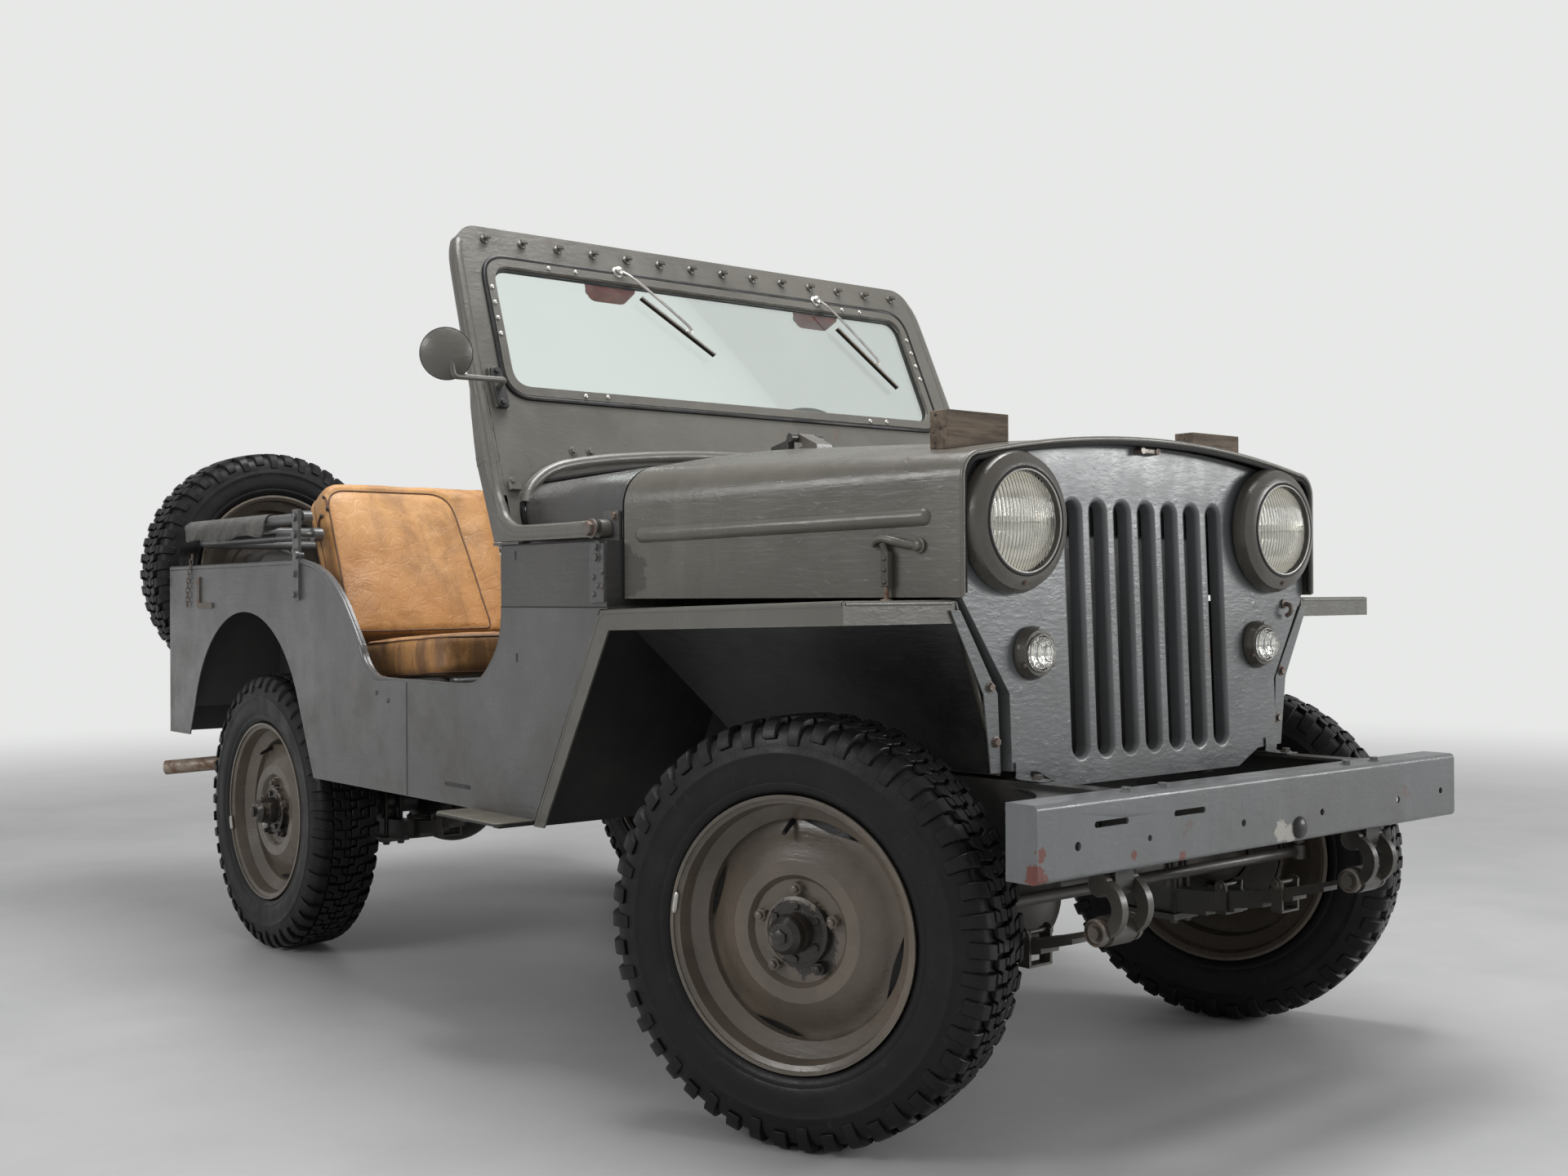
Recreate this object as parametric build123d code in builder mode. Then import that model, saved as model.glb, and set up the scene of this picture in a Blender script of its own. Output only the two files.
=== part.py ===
from build123d import *
from math import atan, cos, pi, radians, sin
import os

# Open four-wheel-drive field car with flat front fenders, a high hood and a fold-down windscreen.
# Millimetres. X points to the car's left, Y to its rear and Z up, with the floor at zero.

# Driving dimensions
wheelbase = 2032.0
front_axle_y = -1150.0
rear_axle_y = front_axle_y + wheelbase
track = 1231.0
hub_z = 351.0
tyre_radius = 351.0
tyre_half_width = 84.0
lug_count = 32
lug_length = 36.0
groove_depth = 9.0
tread_r = tyre_radius - groove_depth
kingpin_x = 541.0
steer_at_rest = 21.0
body_half_width = 725.0
sheet = 3.0
gap = 6.0

# Heights
sill_z = 718.0
body_top_z = 983.0
body_bottom_z = 468.0
seam_z = 878.0
cowl_shelf_z = 999.0
fender_front_z = 887.0
floor_z = 600.0

# Stations along the car
bumper_y = -1652.0
grille_y = -1399.0
hood_front_y = -1412.0
hood_rear_y = -756.0
door_front_y = -377.0
tub_rear_y = 1461.0

# Frame
rail_outer_x = 374.0
rail_width = 42.0
rail_bottom_z = 476.0
rail_top_z = 592.0
rail_gauge = 5.0
spring_x = 353.0
spring_width = 44.0
# Spring sets: axle station, half length, lowest point of the main leaf
spring_sets = ((front_axle_y, 450.0, 298.0), (rear_axle_y, 555.0, 298.0))
shackle_drop = 26.0
shackle_pin = 9.0

# Hood and cowl
hood_front_half = 490.0
hood_rear_half = 690.0
hood_front_top_z = 1170.0
hood_rear_top_z = 1200.0
cowl_rear_half = 652.0
cowl_rear_top_z = 1188.0

bead_radius = 16.0
bead_inset = 6.0
# Bead ends: y, z
bead_ends = ((-793.0, 1008.0), (-1342.0, 1023.0))
hinge_x = 250.0
hinge_y = -748.0
hinge_z = 1209.0
hinge_pin = 4.0
barrel_radius = 9.0
barrel_length = 40.0
barrel_gap = 5.0

# Windscreen
screen_slope = 0.422
screen_base_y = -335.0
screen_base_z = 1100.0
screen_top_half = 667.0
screen_low_half = 690.0
screen_pivot_y = -715.0
screen_pivot_z = 1021.0
arm_x = 699.0
arm_width = 22.0
arm_pin = 6.0

# Steering column
wheel_centre = Vector(330, 20, 1185)
column_dir = Vector(0, 620, 385).normalized()
column_length = 1090.0
wheel_hub_depth = 50.0
column_foot = wheel_centre - column_dir * column_length

lean = atan(screen_slope)
screen_plane = Plane(
    origin=(0, screen_base_y, screen_base_z),
    x_dir=(1, 0, 0),
    z_dir=(0, -cos(lean), sin(lean)),
)

os.makedirs("parts", exist_ok=True)


def write(piece, node):
    """Label a finished piece and write its file."""
    piece.part.label = node
    export_step(piece.part, f"parts/{node}.step")


def hood_half(y):
    """Half width of the tapered hood at a station."""
    share = (y - hood_front_y) / (hood_rear_y - hood_front_y)
    return hood_front_half + share * (hood_rear_half - hood_front_half)


def arch_section(y, half, low_z, shoulder_z, top_z, radius):
    """Closed section of a hood or cowl at a station: straight sides, round shoulders, crowned top."""
    c = radius * (1 - cos(pi / 4))
    with BuildSketch(Plane.XZ.offset(-y)) as section:
        with BuildLine():
            Polyline((-half, shoulder_z - radius), (-half, low_z), (half, low_z), (half, shoulder_z - radius))
            ThreePointArc((half, shoulder_z - radius), (half - c, shoulder_z - c), (half - radius, shoulder_z))
            ThreePointArc((half - radius, shoulder_z), (0, top_z), (radius - half, shoulder_z))
            ThreePointArc((radius - half, shoulder_z), (c - half, shoulder_z - c), (-half, shoulder_z - radius))
        make_face()
    return section.sketch


def wheel_place(side, front):
    """Plane at a wheel's centre with its Z axis pointing outboard along the axle."""
    turn = steer_at_rest if front else 0.0
    arm = track / 2 - kingpin_x
    out = Vector(side * cos(radians(turn)), side * sin(radians(turn)), 0)
    if front:
        centre = Vector(side * kingpin_x, front_axle_y, hub_z) + out * arm
    else:
        centre = Vector(side * track / 2, rear_axle_y, hub_z)
    return Plane(origin=centre, x_dir=(0, 0, 1), z_dir=out)


# Frame rails: two channels open inwards, cross members, bumper gussets and side steps
with BuildPart() as frame_rails:
    for side in (-1, 1):
        with BuildSketch(Plane.XZ.offset(1590)):
            with Locations((side * (rail_outer_x - rail_width / 2), (rail_bottom_z + rail_top_z) / 2)):
                Rectangle(rail_width, rail_top_z - rail_bottom_z)
            with Locations((side * (rail_outer_x - rail_gauge - rail_width / 2), (rail_bottom_z + rail_top_z) / 2)):
                Rectangle(rail_width, rail_top_z - rail_bottom_z - 2 * rail_gauge, mode=Mode.SUBTRACT)
        extrude(amount=-1590 - 1440)
    for member_y in (-1500, -640, 330, 1410):
        with Locations((0, member_y, rail_bottom_z + 34)):
            Box(2 * rail_outer_x - 2 * rail_gauge, 60, 58)
    # Gusset plates from the rails to the bumper's ends
    for side in (-1, 1):
        for plate_z in (rail_bottom_z + 8, rail_top_z - 12):
            with BuildSketch(Plane.XY.offset(plate_z)):
                with BuildLine():
                    Polyline((side * (rail_outer_x - 4), -1380), (side * (rail_outer_x - 4), -1640), (side * 583, -1640))
                    Line((side * 583, -1640), (side * 583, -1585))
                    ThreePointArc((side * 583, -1585), (side * 440, -1520), (side * (rail_outer_x - 4), -1380))
                make_face()
            extrude(amount=4)
        # Hangers under the rail for the spring shackles
        for axle_y, half_length, leaf_z in spring_sets:
            for eye_y in (axle_y - half_length, axle_y + half_length):
                with BuildSketch(Plane.YZ.offset(side * spring_x - spring_width / 2)):
                    with Locations((eye_y, rail_bottom_z - shackle_drop / 2)):
                        Rectangle(44, shackle_drop)
                    with Locations((eye_y, rail_bottom_z - shackle_drop)):
                        Circle(22)
                        Circle(shackle_pin + 0.4, mode=Mode.SUBTRACT)
                extrude(amount=spring_width)
    for side in (-1, 1):
        for step_y in (-430, -300):
            with Locations((side * 520, step_y, 463)):
                Box(370, 22, 26)
            with Locations((side * 735, step_y, 456)):
                Box(70, 22, 12)
        with BuildSketch(Plane.XY.offset(462)):
            with Locations((side * 756, -370)):
                RectangleRounded(104, 250, 18)
        extrude(amount=4)
    # Towing plate on the rear cross member, with its bolt holes
    with Locations((0, 1445, rail_bottom_z + 34)):
        Box(200, 10, 100)
    with BuildSketch(Plane.XZ.offset(-1450)):
        with Locations((0, rail_bottom_z + 34)):
            with GridLocations(88.9, 44.45, 2, 2):
                Circle(6.75)
    extrude(amount=60, mode=Mode.SUBTRACT)
write(frame_rails, "frame_rails")

# Front bumper: a channel with its web to the front
bumper_half = 587.0
bumper_low_z = 476.0
bumper_high_z = 592.0
bumper_depth = 62.0
with BuildPart() as front_bumper:
    with Locations((0, bumper_y + bumper_depth / 2, (bumper_low_z + bumper_high_z) / 2)):
        Box(2 * bumper_half, bumper_depth, bumper_high_z - bumper_low_z)
    vertical = front_bumper.edges().filter_by(Axis.X).group_by(Axis.Y)[0]
    fillet(vertical, radius=9)
    with Locations((0, bumper_y + bumper_depth / 2 + 4, (bumper_low_z + bumper_high_z) / 2)):
        Box(2 * bumper_half - 8, bumper_depth, bumper_high_z - bumper_low_z - 8, mode=Mode.SUBTRACT)
    # Round holes and two long slots in the web: x, z, radius
    for x, z, radius in ((-498, 525, 7), (-329, 521, 5), (-85, 522, 6), (143, 520, 6), (388, 521, 6), (537, 526, 6)):
        with BuildSketch(Plane.XZ.offset(-bumper_y - 10)):
            with Locations((x, z)):
                Circle(radius)
        extrude(amount=20, mode=Mode.SUBTRACT)
    for x in (-420, -228):
        with BuildSketch(Plane.XZ.offset(-bumper_y - 10)):
            with Locations((x, 553)):
                SlotOverall(80, 10)
        extrude(amount=20, mode=Mode.SUBTRACT)
write(front_bumper, "front_bumper")

# Leaf springs: leaves as flat arcs, with eyes, shackles and axle clips
leaf_gauge = 8.0
leaf_count = 6
axle_radius = 36.0
with BuildPart() as leaf_springs:
    for axle_y, half_length, leaf_z in spring_sets:
        radius = half_length**2 / (2 * 74)
        for side in (-1, 1):
            inner = side * spring_x - spring_width / 2
            for n in range(leaf_count):
                reach = half_length * (1 - 0.145 * n)
                with BuildSketch(Plane.YZ.offset(inner)):
                    with Locations((axle_y, leaf_z + radius)):
                        Circle(radius + leaf_gauge * n)
                        Circle(radius + leaf_gauge * (n - 1), mode=Mode.SUBTRACT)
                    with Locations((axle_y, leaf_z + 40)):
                        Rectangle(2 * reach, 200, mode=Mode.INTERSECT)
                extrude(amount=spring_width)
            for end in (-1, 1):
                eye_y = axle_y + end * half_length
                eye_z = leaf_z + 78
                with BuildSketch(Plane.YZ.offset(inner - 5)):
                    with Locations((eye_y, eye_z)):
                        Circle(24)
                extrude(amount=spring_width + 10)
                # Shackle: two C-shaped links and the pin through the rail's hanger
                pin_z = rail_bottom_z - shackle_drop
                for ear in (inner - 16, inner + spring_width + 2):
                    with BuildSketch(Plane.YZ.offset(ear)):
                        with Locations((eye_y, (eye_z + pin_z) / 2)):
                            Circle((pin_z - eye_z) / 2 + 11)
                            Circle((pin_z - eye_z) / 2 - 11, mode=Mode.SUBTRACT)
                        with Locations((eye_y - end * 60, (eye_z + pin_z) / 2)):
                            Rectangle(120, 160, mode=Mode.SUBTRACT)
                        with Locations((eye_y, eye_z), (eye_y, pin_z)):
                            Circle(20)
                    extrude(amount=14)
                with BuildSketch(Plane.YZ.offset(inner - 16)):
                    with Locations((eye_y, pin_z)):
                        Circle(shackle_pin)
                extrude(amount=spring_width + 32)
            with Locations((side * spring_x, axle_y, leaf_z - leaf_gauge * (leaf_count - 1) - 6)):
                Box(spring_width + 34, 120, 12)
write(leaf_springs, "leaf_springs")

# Axles: a tube, an offset differential and spring seats
diff_x = -150.0
ball_radius = 60.0
spring_seat_z = spring_sets[0][2] + leaf_gauge + 0.4
for axle_name, axle_y, tube_end in (("front_axle", front_axle_y, kingpin_x), ("rear_axle", rear_axle_y, track / 2 - 62)):
    with BuildPart() as axle:
        with BuildSketch(Plane.YZ.offset(-tube_end)):
            with Locations((axle_y, hub_z)):
                Circle(axle_radius)
        extrude(amount=2 * tube_end)
        with Locations((diff_x, axle_y, hub_z)):
            Sphere(128)
        nose = 1 if axle_y == front_axle_y else -1
        with Locations((diff_x, axle_y + nose * 90, hub_z)):
            Cylinder(66, 180, rotation=(90, 0, 0))
        for side in (-1, 1):
            with Locations((side * spring_x, axle_y, (spring_seat_z + hub_z - 20) / 2)):
                Box(spring_width + 8, 60, hub_z - 20 - spring_seat_z)
            if axle_y == front_axle_y:
                with Locations((side * kingpin_x, axle_y, hub_z)):
                    Sphere(ball_radius)
            else:
                with BuildSketch(Plane.YZ.offset(side * (track / 2 - 62) - 3)):
                    with Locations((axle_y, hub_z)):
                        Circle(140)
                extrude(amount=6)
    write(axle, axle_name)

# Engine, gearbox and transfer case as one plain block
with BuildPart() as engine_block:
    with Locations((0, -1030, 745)):
        Box(330, 420, 440)
    with Locations((0, -650, 595)):
        Box(230, 340, 108)
    with Locations((-110, -390, 510)):
        Box(380, 200, 150)
write(engine_block, "engine_block")

# Propeller shafts from the transfer case to both axles
with BuildPart() as prop_shafts:
    for start, finish in (
        (Vector(diff_x, -500, 464), Vector(diff_x, front_axle_y + 192, hub_z)),
        (Vector(diff_x, -282, 480), Vector(diff_x, rear_axle_y - 190, hub_z)),
    ):
        run = finish - start
        with BuildSketch(Plane(origin=start, z_dir=run)):
            Circle(26)
        extrude(amount=run.length)
write(prop_shafts, "prop_shafts")

# Radiator: core, top tank and bottom tank
with BuildPart() as radiator:
    with Locations((0, -1322, 800)):
        Box(470, 50, 400)
    with Locations((0, -1322, 1035)):
        Box(480, 80, 70)
    with Locations((0, -1322, 580)):
        Box(480, 70, 40)
write(radiator, "radiator")

# Exhaust: silencer under the floor and a tail pipe to the right rear corner
with BuildPart() as exhaust:
    with BuildLine():
        FilletPolyline(
            (195, -900, 560),
            (200, -700, 440),
            (215, -200, 425),
            (215, 420, 425),
            (-60, 620, 440),
            (-300, 760, 446),
            (-302, 1150, 446),
            (-560, 1360, 436),
            (-716, 1520, 415),
            radius=50,
        )
    with BuildSketch(Plane(origin=(195, -900, 560), z_dir=(5, 200, -120))):
        Circle(20)
    sweep()
    with Locations((215, 110, 425)):
        Cylinder(50, 380, rotation=(90, 0, 0))
write(exhaust, "exhaust")

# Tub: side panels with door openings and wheel arches, floor, tunnel, wheel housings and rear panel
arch_y = 925.0
arch_z = 498.0
arch_radius = 364.0
arch_front_foot = 506.0
arch_rear_foot = 1310.0
tub_front_y = -750.0
door_rear_y = 566.0
door_flange = 18.0


# Lower edge of a door opening, front to rear: y, z, and the way out into the panel
door_points = (
    (door_front_y, 866, -1.0, 0.0), (-333, 766, -0.8, -0.6), (-225, sill_z, 0.0, -1.0), (150, sill_z, 0.0, -1.0),
    (222, 742, 0.6, -0.8), (258, 790, 0.76, -0.65), (330, 872, 0.75, -0.66), (426, 946, 0.5, -0.87),
    (door_rear_y, body_top_z + 3, 0.1, -1.0),
)


def door_edge(inset):
    """Draw a door opening's lower edge, moved out into the panel by an inset."""
    points = [(y + inset * out_y, z + inset * out_z) for y, z, out_y, out_z in door_points]
    ThreePointArc(*points[0:3])
    Line(points[2], points[3])
    ThreePointArc(*points[3:6])
    Line(points[5], points[6])
    ThreePointArc(*points[6:9])
    return points[0], points[-1]


def side_panel(x):
    """Outline of a side panel below the cowl seam, on an upright plane at x."""
    half_chord = 330.0
    arch_side_z = arch_z + (arch_radius**2 - half_chord**2) ** 0.5
    with BuildSketch(Plane.YZ.offset(x)) as panel:
        with BuildLine():
            Polyline(
                (tub_front_y, seam_z),
                (tub_front_y, seam_z - 4),
                (-727, seam_z - 4),
                (-498, body_bottom_z),
                (arch_front_foot, body_bottom_z),
            )
            Line((arch_front_foot, body_bottom_z), (arch_y - half_chord, arch_side_z))
            ThreePointArc((arch_y - half_chord, arch_side_z), (arch_y, arch_z + arch_radius), (arch_y + half_chord, arch_side_z))
            Polyline(
                (arch_y + half_chord, arch_side_z),
                (arch_rear_foot, 523),
                (tub_rear_y, 523),
                (tub_rear_y, body_top_z),
                (door_rear_y, body_top_z + 3),
            )
            Polyline(door_edge(0)[0], (door_front_y, seam_z), (tub_front_y, seam_z))
        make_face()
    return panel.sketch


well_inner_x = 470.0
well_top_z = 872.0
well_front_y = 562.0
well_rear_y = 1312.0
well_points = ((well_front_y, floor_z), (637, well_top_z), (1290, well_top_z), (well_rear_y, floor_z))
well_inside = (
    (well_front_y + 4, floor_z - 1),
    (640, well_top_z - sheet),
    (1287, well_top_z - sheet),
    (well_rear_y - 3, floor_z - 1),
)
with BuildPart() as tub:
    for side in (-1, 1):
        extrude(side_panel(side * body_half_width), amount=sheet, dir=(-side, 0, 0))
        # Flange folded inwards along the door opening
        with BuildSketch(Plane.YZ.offset(side * body_half_width)):
            with BuildLine():
                edge_front, edge_rear = door_edge(0)
                band_front, band_rear = door_edge(sheet)
                Line(edge_front, band_front)
                Line(edge_rear, band_rear)
            make_face()
        extrude(amount=-side * door_flange)
    # Rear panel
    with Locations((0, tub_rear_y - sheet / 2, (523 + body_top_z) / 2)):
        Box(2 * body_half_width, sheet, body_top_z - 523)
    # Floor pan
    with BuildSketch(Plane.XY.offset(floor_z)):
        with Locations((0, (tub_rear_y - 510) / 2)):
            Rectangle(2 * body_half_width, tub_rear_y + 510)
        for side in (-1, 1):
            with Locations((side * (body_half_width + well_inner_x) / 2, (well_front_y + well_rear_y) / 2)):
                Rectangle(body_half_width - well_inner_x, well_rear_y - well_front_y - 4, mode=Mode.SUBTRACT)
    extrude(amount=sheet)
    # Toe board and the ledge under the cowl, as one folded sheet
    with BuildSketch(Plane.YZ.offset(-body_half_width + sheet)):
        with BuildLine():
            Polyline(
                (-560 + 40, floor_z), (-672, 800), (-672, seam_z - sheet), (tub_front_y, seam_z - sheet),
                (tub_front_y, seam_z), (-669, seam_z), (-669, 801), (-517, floor_z + sheet), (-500, floor_z + sheet),
                (-500, floor_z), close=True,
            )
        make_face()
    extrude(amount=2 * (body_half_width - sheet))
    # Tunnel over the gearbox
    tunnel_half = 150
    with BuildSketch(Plane.YZ.offset(-tunnel_half)):
        with BuildLine():
            Polyline((-672, floor_z), (-672, 760), (-560, 720), (-170, 680), (-110, floor_z), close=True)
        make_face()
    extrude(amount=2 * tunnel_half)
    with BuildSketch(Plane.YZ.offset(sheet - tunnel_half)):
        with BuildLine():
            Polyline((-800, floor_z - 1), (-800, 757), (-672, 757), (-560, 717), (-172, 677), (-112, floor_z - 1), close=True)
        make_face()
    extrude(amount=2 * (tunnel_half - sheet), mode=Mode.SUBTRACT)
    # Hole for the steering column
    with BuildSketch(Plane(origin=column_foot, z_dir=column_dir)):
        Circle(26)
    extrude(amount=640, mode=Mode.SUBTRACT)
    # Wheel housings
    for side in (-1, 1):
        with BuildSketch(Plane.YZ.offset(side * (body_half_width - sheet))):
            Polygon(*[(y, z) for y, z in well_points], align=None)
            Polygon(*[(y, z) for y, z in well_inside], align=None, mode=Mode.SUBTRACT)
        extrude(amount=body_half_width - sheet - well_inner_x, dir=(-side, 0, 0))
        with BuildSketch(Plane.YZ.offset(side * well_inner_x)):
            Polygon(*[(y, z) for y, z in well_points], align=None)
        extrude(amount=sheet, dir=(-side, 0, 0))
write(tub, "tub")

# Cowl: firewall, side bands, shelf and crown, cut back along the windscreen
shelf_half = 694.0
with BuildPart() as cowl:
    front_arch_y = hood_rear_y + gap
    rear_arch_y = -290.0
    crown = (
        arch_section(front_arch_y, hood_rear_half, cowl_shelf_z, 1135, hood_rear_top_z, 75),
        arch_section(rear_arch_y, cowl_rear_half, cowl_shelf_z, 1130, cowl_rear_top_z, 75),
    )
    loft(crown, ruled=True)
    crown_inside = (
        arch_section(front_arch_y - 1, hood_rear_half - sheet, cowl_shelf_z - 1, 1135 - sheet, hood_rear_top_z - sheet, 72),
        arch_section(rear_arch_y + 1, cowl_rear_half - sheet, cowl_shelf_z - 1, 1130 - sheet, cowl_rear_top_z - sheet, 72),
    )
    loft(crown_inside, ruled=True, mode=Mode.SUBTRACT)
    split(bisect_by=screen_plane.offset(gap), keep=Keep.TOP)
    # Side bands and the shelf beside the crown
    for side in (-1, 1):
        with Locations((side * (body_half_width - sheet / 2), (front_arch_y + door_front_y) / 2, (seam_z + cowl_shelf_z) / 2)):
            Box(sheet, door_front_y - front_arch_y, cowl_shelf_z - seam_z)
        with BuildSketch(Plane.XY.offset(cowl_shelf_z - sheet)):
            with BuildLine():
                Polyline(
                    (side * body_half_width, front_arch_y),
                    (side * body_half_width, door_front_y),
                    (side * (cowl_rear_half - 12), door_front_y),
                    (side * (hood_rear_half - 12), front_arch_y),
                    close=True,
                )
            make_face()
        extrude(amount=sheet)
    # Firewall and dashboard
    extrude(
        arch_section(front_arch_y, hood_rear_half - 1, cowl_shelf_z - 3, 1134, hood_rear_top_z - 1, 75),
        amount=sheet,
        dir=(0, 1, 0),
    )
    with Locations((0, front_arch_y + sheet / 2, (seam_z + cowl_shelf_z) / 2)):
        Box(2 * body_half_width, sheet, cowl_shelf_z - seam_z)
    with Locations((0, door_front_y - 8, 940)):
        Box(2 * body_half_width, sheet, 118)
    with BuildSketch(Plane(origin=column_foot, z_dir=column_dir)):
        Circle(26)
    extrude(amount=900, mode=Mode.SUBTRACT)
    # Hood hinges: two outer barrels on straps, and the pin
    for side in (-1, 1):
        start_x = side * hinge_x - barrel_length / 2
        for barrel_x in (start_x - barrel_gap - 16, start_x + barrel_length + barrel_gap):
            with BuildSketch(Plane.YZ.offset(barrel_x)):
                Polygon((-744, 1186), (-690, 1184), (-690, 1193), (-735, 1203), (-744, 1212), align=None)
                with Locations((hinge_y, hinge_z)):
                    Circle(barrel_radius)
            extrude(amount=16)
        with BuildSketch(Plane.YZ.offset(start_x - barrel_gap - 8)):
            with Locations((hinge_y, hinge_z)):
                Circle(hinge_pin)
        extrude(amount=barrel_length + 2 * barrel_gap + 16)
write(cowl, "cowl")

# Grille shell: pressed front panel with seven slots
grille_tilt = radians(2.3)
grille_mid_z = 839.0
grille_plane = Plane(
    origin=(0, grille_y, grille_mid_z),
    x_dir=(1, 0, 0),
    z_dir=(0, -cos(grille_tilt), sin(grille_tilt)),
)
slot_pitch = 66.3
slot_width = 37.0
slot_round = 9.0
slot_top = 1057.0 - grille_mid_z
slot_bottom = 620.0 - grille_mid_z
lamp_x = 364.0
lamp_z = 1017.0
marker_x = 318.0
marker_z = 800.0


def grille_outline(plane, inset):
    """Front outline of the grille panel on a plane, drawn in by an inset."""
    top = 1160 - inset - grille_mid_z
    shoulder = 1117 - inset - grille_mid_z
    half = 482 - inset
    with BuildSketch(plane) as outline:
        with BuildLine():
            Polyline(
                (-half, shoulder - 40),
                (-half, 900 - grille_mid_z),
                (inset - 373, 734 - grille_mid_z),
                (inset - 373, 607 + inset - grille_mid_z),
                (inset - 312, 603 + inset - grille_mid_z),
                (inset - 250, 573 + inset - grille_mid_z),
                (250 - inset, 573 + inset - grille_mid_z),
                (312 - inset, 603 + inset - grille_mid_z),
                (373 - inset, 607 + inset - grille_mid_z),
                (373 - inset, 734 - grille_mid_z),
                (half, 900 - grille_mid_z),
                (half, shoulder - 40),
                (half - 40, shoulder),
            )
            ThreePointArc((half - 40, shoulder), (0, top), (40 - half, shoulder))
            Line((40 - half, shoulder), (-half, shoulder - 40))
        make_face()
    return outline.sketch


with BuildPart() as grille_shell:
    extrude(grille_outline(grille_plane, 0), amount=-48)
    extrude(grille_outline(grille_plane.offset(-sheet), sheet), amount=-60, mode=Mode.SUBTRACT)
    # Slot collars: a deep thin wall, and a thick front part whose edge is rounded
    for wall, depth in ((sheet, 26), (slot_round + 2, slot_round + 2)):
        with BuildSketch(grille_plane.offset(-1)):
            for n in range(-3, 4):
                with Locations((n * slot_pitch, (slot_top + slot_bottom) / 2)):
                    SlotOverall(slot_top - slot_bottom + 2 * wall, slot_width + 2 * wall, rotation=90)
        extrude(amount=-depth)
    with BuildSketch(grille_plane.offset(5)):
        for n in range(-3, 4):
            with Locations((n * slot_pitch, (slot_top + slot_bottom) / 2)):
                SlotOverall(slot_top - slot_bottom, slot_width, rotation=90)
        for side in (-1, 1):
            with Locations((side * lamp_x, lamp_z - grille_mid_z)):
                Circle(95)
            with Locations((side * marker_x, marker_z - grille_mid_z)):
                Circle(30)
    extrude(amount=-60, mode=Mode.SUBTRACT)
    slot_edges = []
    for edge in grille_shell.edges():
        place = grille_plane.to_local_coords(edge.center())
        if abs(place.Z) < 0.01 and abs(place.X) < 3.5 * slot_pitch and slot_bottom - 1 < place.Y < slot_top + 1:
            slot_edges.append(edge)
    fillet(slot_edges, radius=slot_round)
write(grille_shell, "grille_shell")

# Lamp bodies: head lamp bowls with rims, marker lamp rings and tail lamps
marker_y = grille_y - 5
with BuildPart() as lamp_bodies:
    for side in (-1, 1):
        with BuildSketch(Plane(origin=(side * lamp_x, grille_y - 3, lamp_z), x_dir=(1, 0, 0), z_dir=(0, 0, 1))):
            # Radius and depth towards the rear
            with BuildLine():
                Polyline(
                    (84, -32), (92, -32), (112, -22), (119, -8), (119, 0),
                    (94, 3), (84, 70), (40, 92), (0, 92), (0, 88), (38, 88), (80, 66), (84, -20), close=True,
                )
            make_face()
        revolve(axis=Axis((side * lamp_x, 0, lamp_z), (0, 1, 0)))
        with BuildSketch(Plane(origin=(side * marker_x, marker_y, marker_z), x_dir=(1, 0, 0), z_dir=(0, 0, 1))):
            with BuildLine():
                Polyline((0, 30), (0, 26), (24, 26), (32, -18), (38, -18), (45, -3), (45, 0), (29, 2), (28, 30), close=True)
            make_face()
        revolve(axis=Axis((side * marker_x, 0, marker_z), (0, 1, 0)))
        with Locations((side * 660, tub_rear_y + 22, 570)):
            Cylinder(42, 44, rotation=(90, 0, 0))
write(lamp_bodies, "lamp_bodies")

# Lenses of the head lamps, the marker lamps and the tail lamps
def dome(edge, rise, radius_at):
    """Depth of a shallow dome below its peak at a radius, for a rise over an edge radius."""
    ball = (edge**2 + rise**2) / (2 * rise)
    return ball - (ball**2 - radius_at**2) ** 0.5


with BuildPart() as lamp_lenses:
    for side in (-1, 1):
        with BuildSketch(Plane(origin=(side * lamp_x, grille_y - 3, lamp_z), x_dir=(1, 0, 0), z_dir=(0, 0, 1))):
            with BuildLine():
                Line((0, -38), (0, -44))
                ThreePointArc((0, -44), (46, dome(84, 22, 46) - 44), (84, -22))
                Line((84, -22), (80, -18))
                ThreePointArc((80, -18), (44, dome(80, 20, 44) - 38), (0, -38))
            make_face()
        revolve(axis=Axis((side * lamp_x, 0, lamp_z), (0, 1, 0)))
        with BuildSketch(Plane(origin=(side * marker_x, marker_y, marker_z), x_dir=(1, 0, 0), z_dir=(0, 0, 1))):
            with BuildLine():
                Polyline((0, -18), (0, -40), (12, -38), (14, -32), (22, -30), (24, -24), (31, -22), (31, -18), close=True)
            make_face()
        revolve(axis=Axis((side * marker_x, 0, marker_z), (0, 1, 0)))
        with Locations((side * 660, tub_rear_y + 49, 570)):
            Cylinder(36, 10, rotation=(90, 0, 0))
write(lamp_lenses, "lamp_lenses")

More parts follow.
